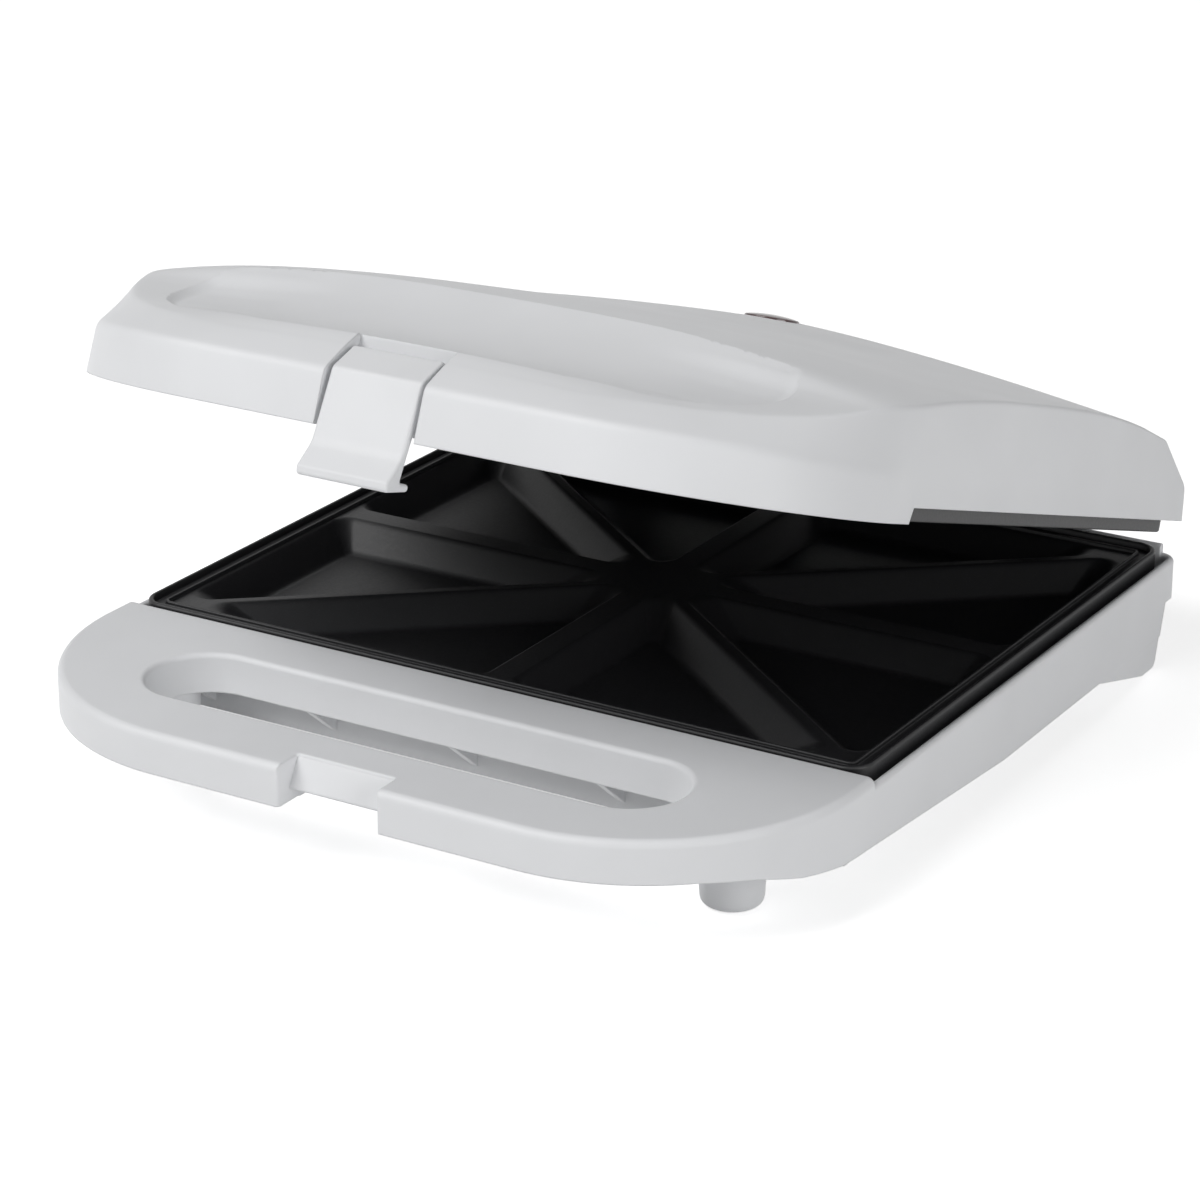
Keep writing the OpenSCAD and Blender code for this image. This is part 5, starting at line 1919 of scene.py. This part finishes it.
@dataclass
class Wiring:
    """The heating elements and the leads, swept along their paths."""

    sheath_r: float = 3.25
    pin_r: float = 1.2
    lead_r: float = 0.88
    element_z: float = -16.6
    bend: float = 12.0
    base_leads: tuple = (
        ((10, 199, -22.6), (10, 196.5, -23.3), (11.5, 192.5, -23.7), (16, 190.5, -23.7), (20.5, 192.5, -23.7),
         (22, 197.5, -23), (22, 202.5, -20.8), (22, 203.2, -18.2)),
        ((-10, 199, -22.6), (-10, 195.5, -23.4), (-9, 188, -23.7), (-7.5, 150, -23.7), (-6.5, 125, -23.7),
         (-6.5, 110.2, -23)),
        ((6.5, 110.2, -22.6), (6.4, 113.5, -22.6), (5, 118, -21), (2, 124.5, -19.4), (0, 131.8, -18.4)),
        ((0, 149.2, -18.4), (-3, 156, -19), (-8, 166, -19.6), (-11, 180, -19.8), (-12.5, 190, -19.4),
         (-15.6, 197, -18.3), (-17.2, 202, -18.3), (-19.6, 204.3, -18.6), (-22, 204.5, -18.75)))
    lid_lead: tuple = ((4.7, 163, 27.9), (6, 168, 27.6), (10, 175, 27.6), (15, 188, 27.4), (20, 198, 26),
                       (22, 203.5, 23.6), (22, 204, 20.6))

    @staticmethod
    def smooth(points: list, n: int = 6) -> list:
        """Points of a Catmull-Rom curve through the listed points.

        Args:
            points: The points.
            n: Count of points from each to the next.

        Returns:
            The curve's points.
        """
        p = np.array(points, float)
        rows = []
        for i in range(len(p) - 1):
            a, b, c, d = p[max(i - 1, 0)], p[i], p[i + 1], p[min(i + 2, len(p) - 1)]
            for t in np.arange(n) / n:
                rows.append(0.5 * (2 * b + (c - a) * t + (2 * a - 5 * b + 4 * c - d) * t**2
                                   + (3 * b - a - 3 * c + d) * t**3))
        return [tuple(r) for r in rows] + [tuple(p[-1])]

    @staticmethod
    def chain(paths: list) -> tuple[list, list]:
        """The points and edges of several separate paths.

        Args:
            paths: Lists of points.

        Returns:
            All the points, and pairs of their numbers.
        """
        points, edges = [], []
        for path in paths:
            at = len(points)
            points += path
            edges += [(at + i, at + i + 1) for i in range(len(path) - 1)]
        return points, edges

    def element(self, tree: ShapeTree, name: str, opened: bool) -> bpy.types.Object:
        """One heating element: a bent sheathed tube with a terminal pin at either end.

        Args:
            tree: The tree that sweeps tubes.
            name: Name of the piece.
            opened: True for the lid's element, which is the lower one mirrored.

        Returns:
            The piece.
        """
        z = self.element_z
        sheath = [(-22, 196, z), (-22, 186, z), (-75, 186, z), (-75, 34, z),
                  (75, 34, z), (75, 186, z), (22, 186, z), (22, 196, z)]
        pins = [[(side * 22, 195, z), (side * 22, 206, z)] for side in SIDES]
        parts = []
        for paths, r, sides in (([sheath], self.sheath_r, 40), (pins, self.pin_r, 20)):
            points, edges = self.chain(paths)
            parts.append(tree.run(name, FRAME.turned_over(points) if opened else points, edges, Finish.SHEATH,
                                  opened, Radius=r, Bend=self.bend, Sides=sides))
        return joined(name, parts)

    def build(self) -> None:
        """Build and dress the elements and the leads."""
        tree = tube_tree()
        for name, node, body in (("lower_heater", "lower_element", Body.BASE),
                                 ("upper_heater", "upper_element", Body.LID)):
            made = self.element(tree, name, body is Body.LID)
            soften(made, 40)
            dress(made, Finish.SHEATH, body, node)
        lid_leads = [[(side * x, y, z) for x, y, z in self.lid_lead] for side in SIDES]
        for name, node, paths, body in (("base_wires", "base_leads", self.base_leads, Body.BASE),
                                        ("lid_wires", "lid_leads", lid_leads, Body.LID)):
            points, edges = self.chain([self.smooth(path) for path in paths])
            made = tree.run(name, points, edges, Finish.SLEEVE, body is Body.LID, Radius=self.lead_r, Bend=0.0,
                            Sides=16)
            soften(made, 50)
            dress(made, Finish.SLEEVE, body, node)


# ---------------------------------------------------------------- carried pieces


CARRIED = {
    Finish.ZINC: ["hinge_pins", "hinge_pin_clips", "latch_pin"],
    Finish.SHEET: ["lower_reflector", "upper_reflector", "lower_element_clamps", "upper_element_clamps",
                   "plate_straps", "spring_clips"],
    Finish.CERAMIC: ["lower_element_ceramics", "upper_element_ceramics"],
    Finish.PHENOLIC: ["thermostat"],
    Finish.BRASS: ["thermal_fuse"],
    Finish.NYLON: ["terminal_block", "lamp_holder"],
    Finish.LAMP: ["indicator_lamps"],
}


def dress_carried(nodes: dict) -> None:
    """Give every CAD node that stays in view its finish.

    Args:
        nodes: The frame's nodes by name.
    """
    for finish, names in CARRIED.items():
        for name in names:
            nodes[name].data.materials.clear()
            nodes[name].data.materials.append(finish.material)
    LOG.info("dressed %d carried nodes", sum(len(names) for names in CARRIED.values()))


# ---------------------------------------------------------------- studio


def seen_plainly(tree: bpy.types.NodeTree) -> bpy.types.Node:
    """1 for what the camera sees itself, in a glossy surface or through glass, and 0 for what only lights.

    Args:
        tree: The tree it goes into.

    Returns:
        The node that gives the number.
    """
    ray = add_node(tree, "ShaderNodeLightPath").outputs
    either = add_node(tree, "ShaderNodeMath", "MAXIMUM", ray["Is Camera Ray"], ray["Is Glossy Ray"])
    return add_node(tree, "ShaderNodeMath", "MAXIMUM", either, ray["Is Transmission Ray"])


@dataclass
class Studio:
    """Floor, lamps, world and camera."""

    azimuth: float = 31.2
    elevation: float = 21.39
    camera_at: tuple = (589.9, -903.4, 450.0)
    focal_px: float = 3801.0
    frame_px: float = 1200.0
    floor_half: float = 6.0
    floor_lift: float = 0.68
    world_level: float = 0.14
    aim: tuple = (0, 0, 0.08)
    lamp_list: tuple = (
        ("key", (-0.85, -1.35, 1.75), (1.7, 1.4), 37.0),
        ("side_fill", (2.05, -0.66, 0.52), (1.4, 1.2), 18.0),
    )

    def build(self) -> None:
        """Build the whole studio."""
        self.floor()
        self.world()
        self.lamps()
        self.camera()

    def floor(self) -> None:
        """Lay a pale paper floor that reads white to the camera and keeps the toaster's soft shadow."""
        half = self.floor_half
        mesh = bpy.data.meshes.new("floor")
        mesh.from_pydata([(-half, -half, 0), (half, -half, 0), (half, half, 0), (-half, half, 0)], [],
                         [[0, 1, 2, 3]])
        m = Material("matt_white_paper")
        paper = m.add("ShaderNodeBsdfPrincipled", Base_Color=linear("#f4f4f4"), Roughness=0.9,
                      Specular_IOR_Level=0.1)
        lift = m.add("ShaderNodeMapRange", Value=seen_plainly(m.made.node_tree), To_Min=0.0,
                     To_Max=self.floor_lift)
        both = m.add("ShaderNodeAddShader", None, paper, m.add("ShaderNodeEmission", Strength=lift))
        m.add("ShaderNodeOutputMaterial", Surface=both)
        mesh.materials.append(m.made)
        linked("floor", mesh)

    def world(self) -> None:
        """Light the room evenly from all round, white to the camera."""
        world = bpy.data.worlds.new("studio")
        bpy.context.scene.world = world
        world.use_nodes = True
        tree = world.node_tree
        tree.nodes.clear()
        level = add_node(tree, "ShaderNodeMapRange", Value=seen_plainly(tree), To_Min=self.world_level, To_Max=1.0)
        add_node(tree, "ShaderNodeOutputWorld", Surface=add_node(tree, "ShaderNodeBackground", Strength=level))

    def lamps(self) -> None:
        """Hang the soft boxes: a high key in front on the left and a low fill on the right."""
        for name, place, size, power in self.lamp_list:
            lamp = bpy.data.lights.new(name, "AREA")
            lamp.shape = "RECTANGLE"
            lamp.size, lamp.size_y = size
            lamp.energy = power
            made = linked(name, lamp)
            made.location = place
            made.rotation_mode = "QUATERNION"
            made.rotation_quaternion = (Vector(place) - Vector(self.aim)).to_track_quat("Z", "Y")

    def camera(self) -> None:
        """Set up the camera at the photograph's viewing angle."""
        data = bpy.data.cameras.new("camera")
        data.sensor_width = 36.0
        data.lens = self.focal_px / self.frame_px * data.sensor_width
        made = linked("camera", data)
        x, y, z = self.camera_at
        made.location = Vector((x, y - FRAME.frame_y, z + FRAME.stand_h)) * MM
        made.rotation_euler = (math.radians(90 - self.elevation), 0, math.radians(self.azimuth))
        bpy.context.scene.camera = made


def main() -> None:
    """Build, dress and light the toaster."""
    logging.basicConfig(level=logging.INFO, format="%(name)s: %(message)s")
    bpy.ops.wm.read_factory_settings(use_empty=True)
    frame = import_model()
    dress_carried(frame["nodes"])
    base = BaseHousing()
    small = SmallMouldings(base)
    dress(base.build(), Finish.WHITE, Body.BASE, "base_housing")
    dress(Lid().build(), Finish.WHITE, Body.LID, "lid_shell", "latch_bracket")
    dress(CookingPlate(False).build("lower_grill"), Finish.NONSTICK, Body.BASE, "lower_plate")
    dress(CookingPlate(True).build("upper_grill"), Finish.NONSTICK, Body.LID, "upper_plate")
    dress(LatchClip().build(), Finish.WHITE, Body.LATCH, "latch_clip")
    dress(IndicatorLens().build(), Finish.LENS, Body.LID, "indicator_lens")
    dress(HingeKnuckles().build(), Finish.WHITE, Body.LID, "hinge_knuckles")
    dress(small.cover(), Finish.WHITE, Body.BASE, "service_cover")
    dress(small.bushing(), Finish.BUSHING, Body.BASE, "cord_bushing")
    dress(small.pads(), Finish.PAD, Body.BASE, "foot_pads")
    Screws().build()
    Wiring().build()
    Studio().build()
    bpy.context.scene.view_settings.view_transform = "Standard"


if __name__ == "__main__":
    main()
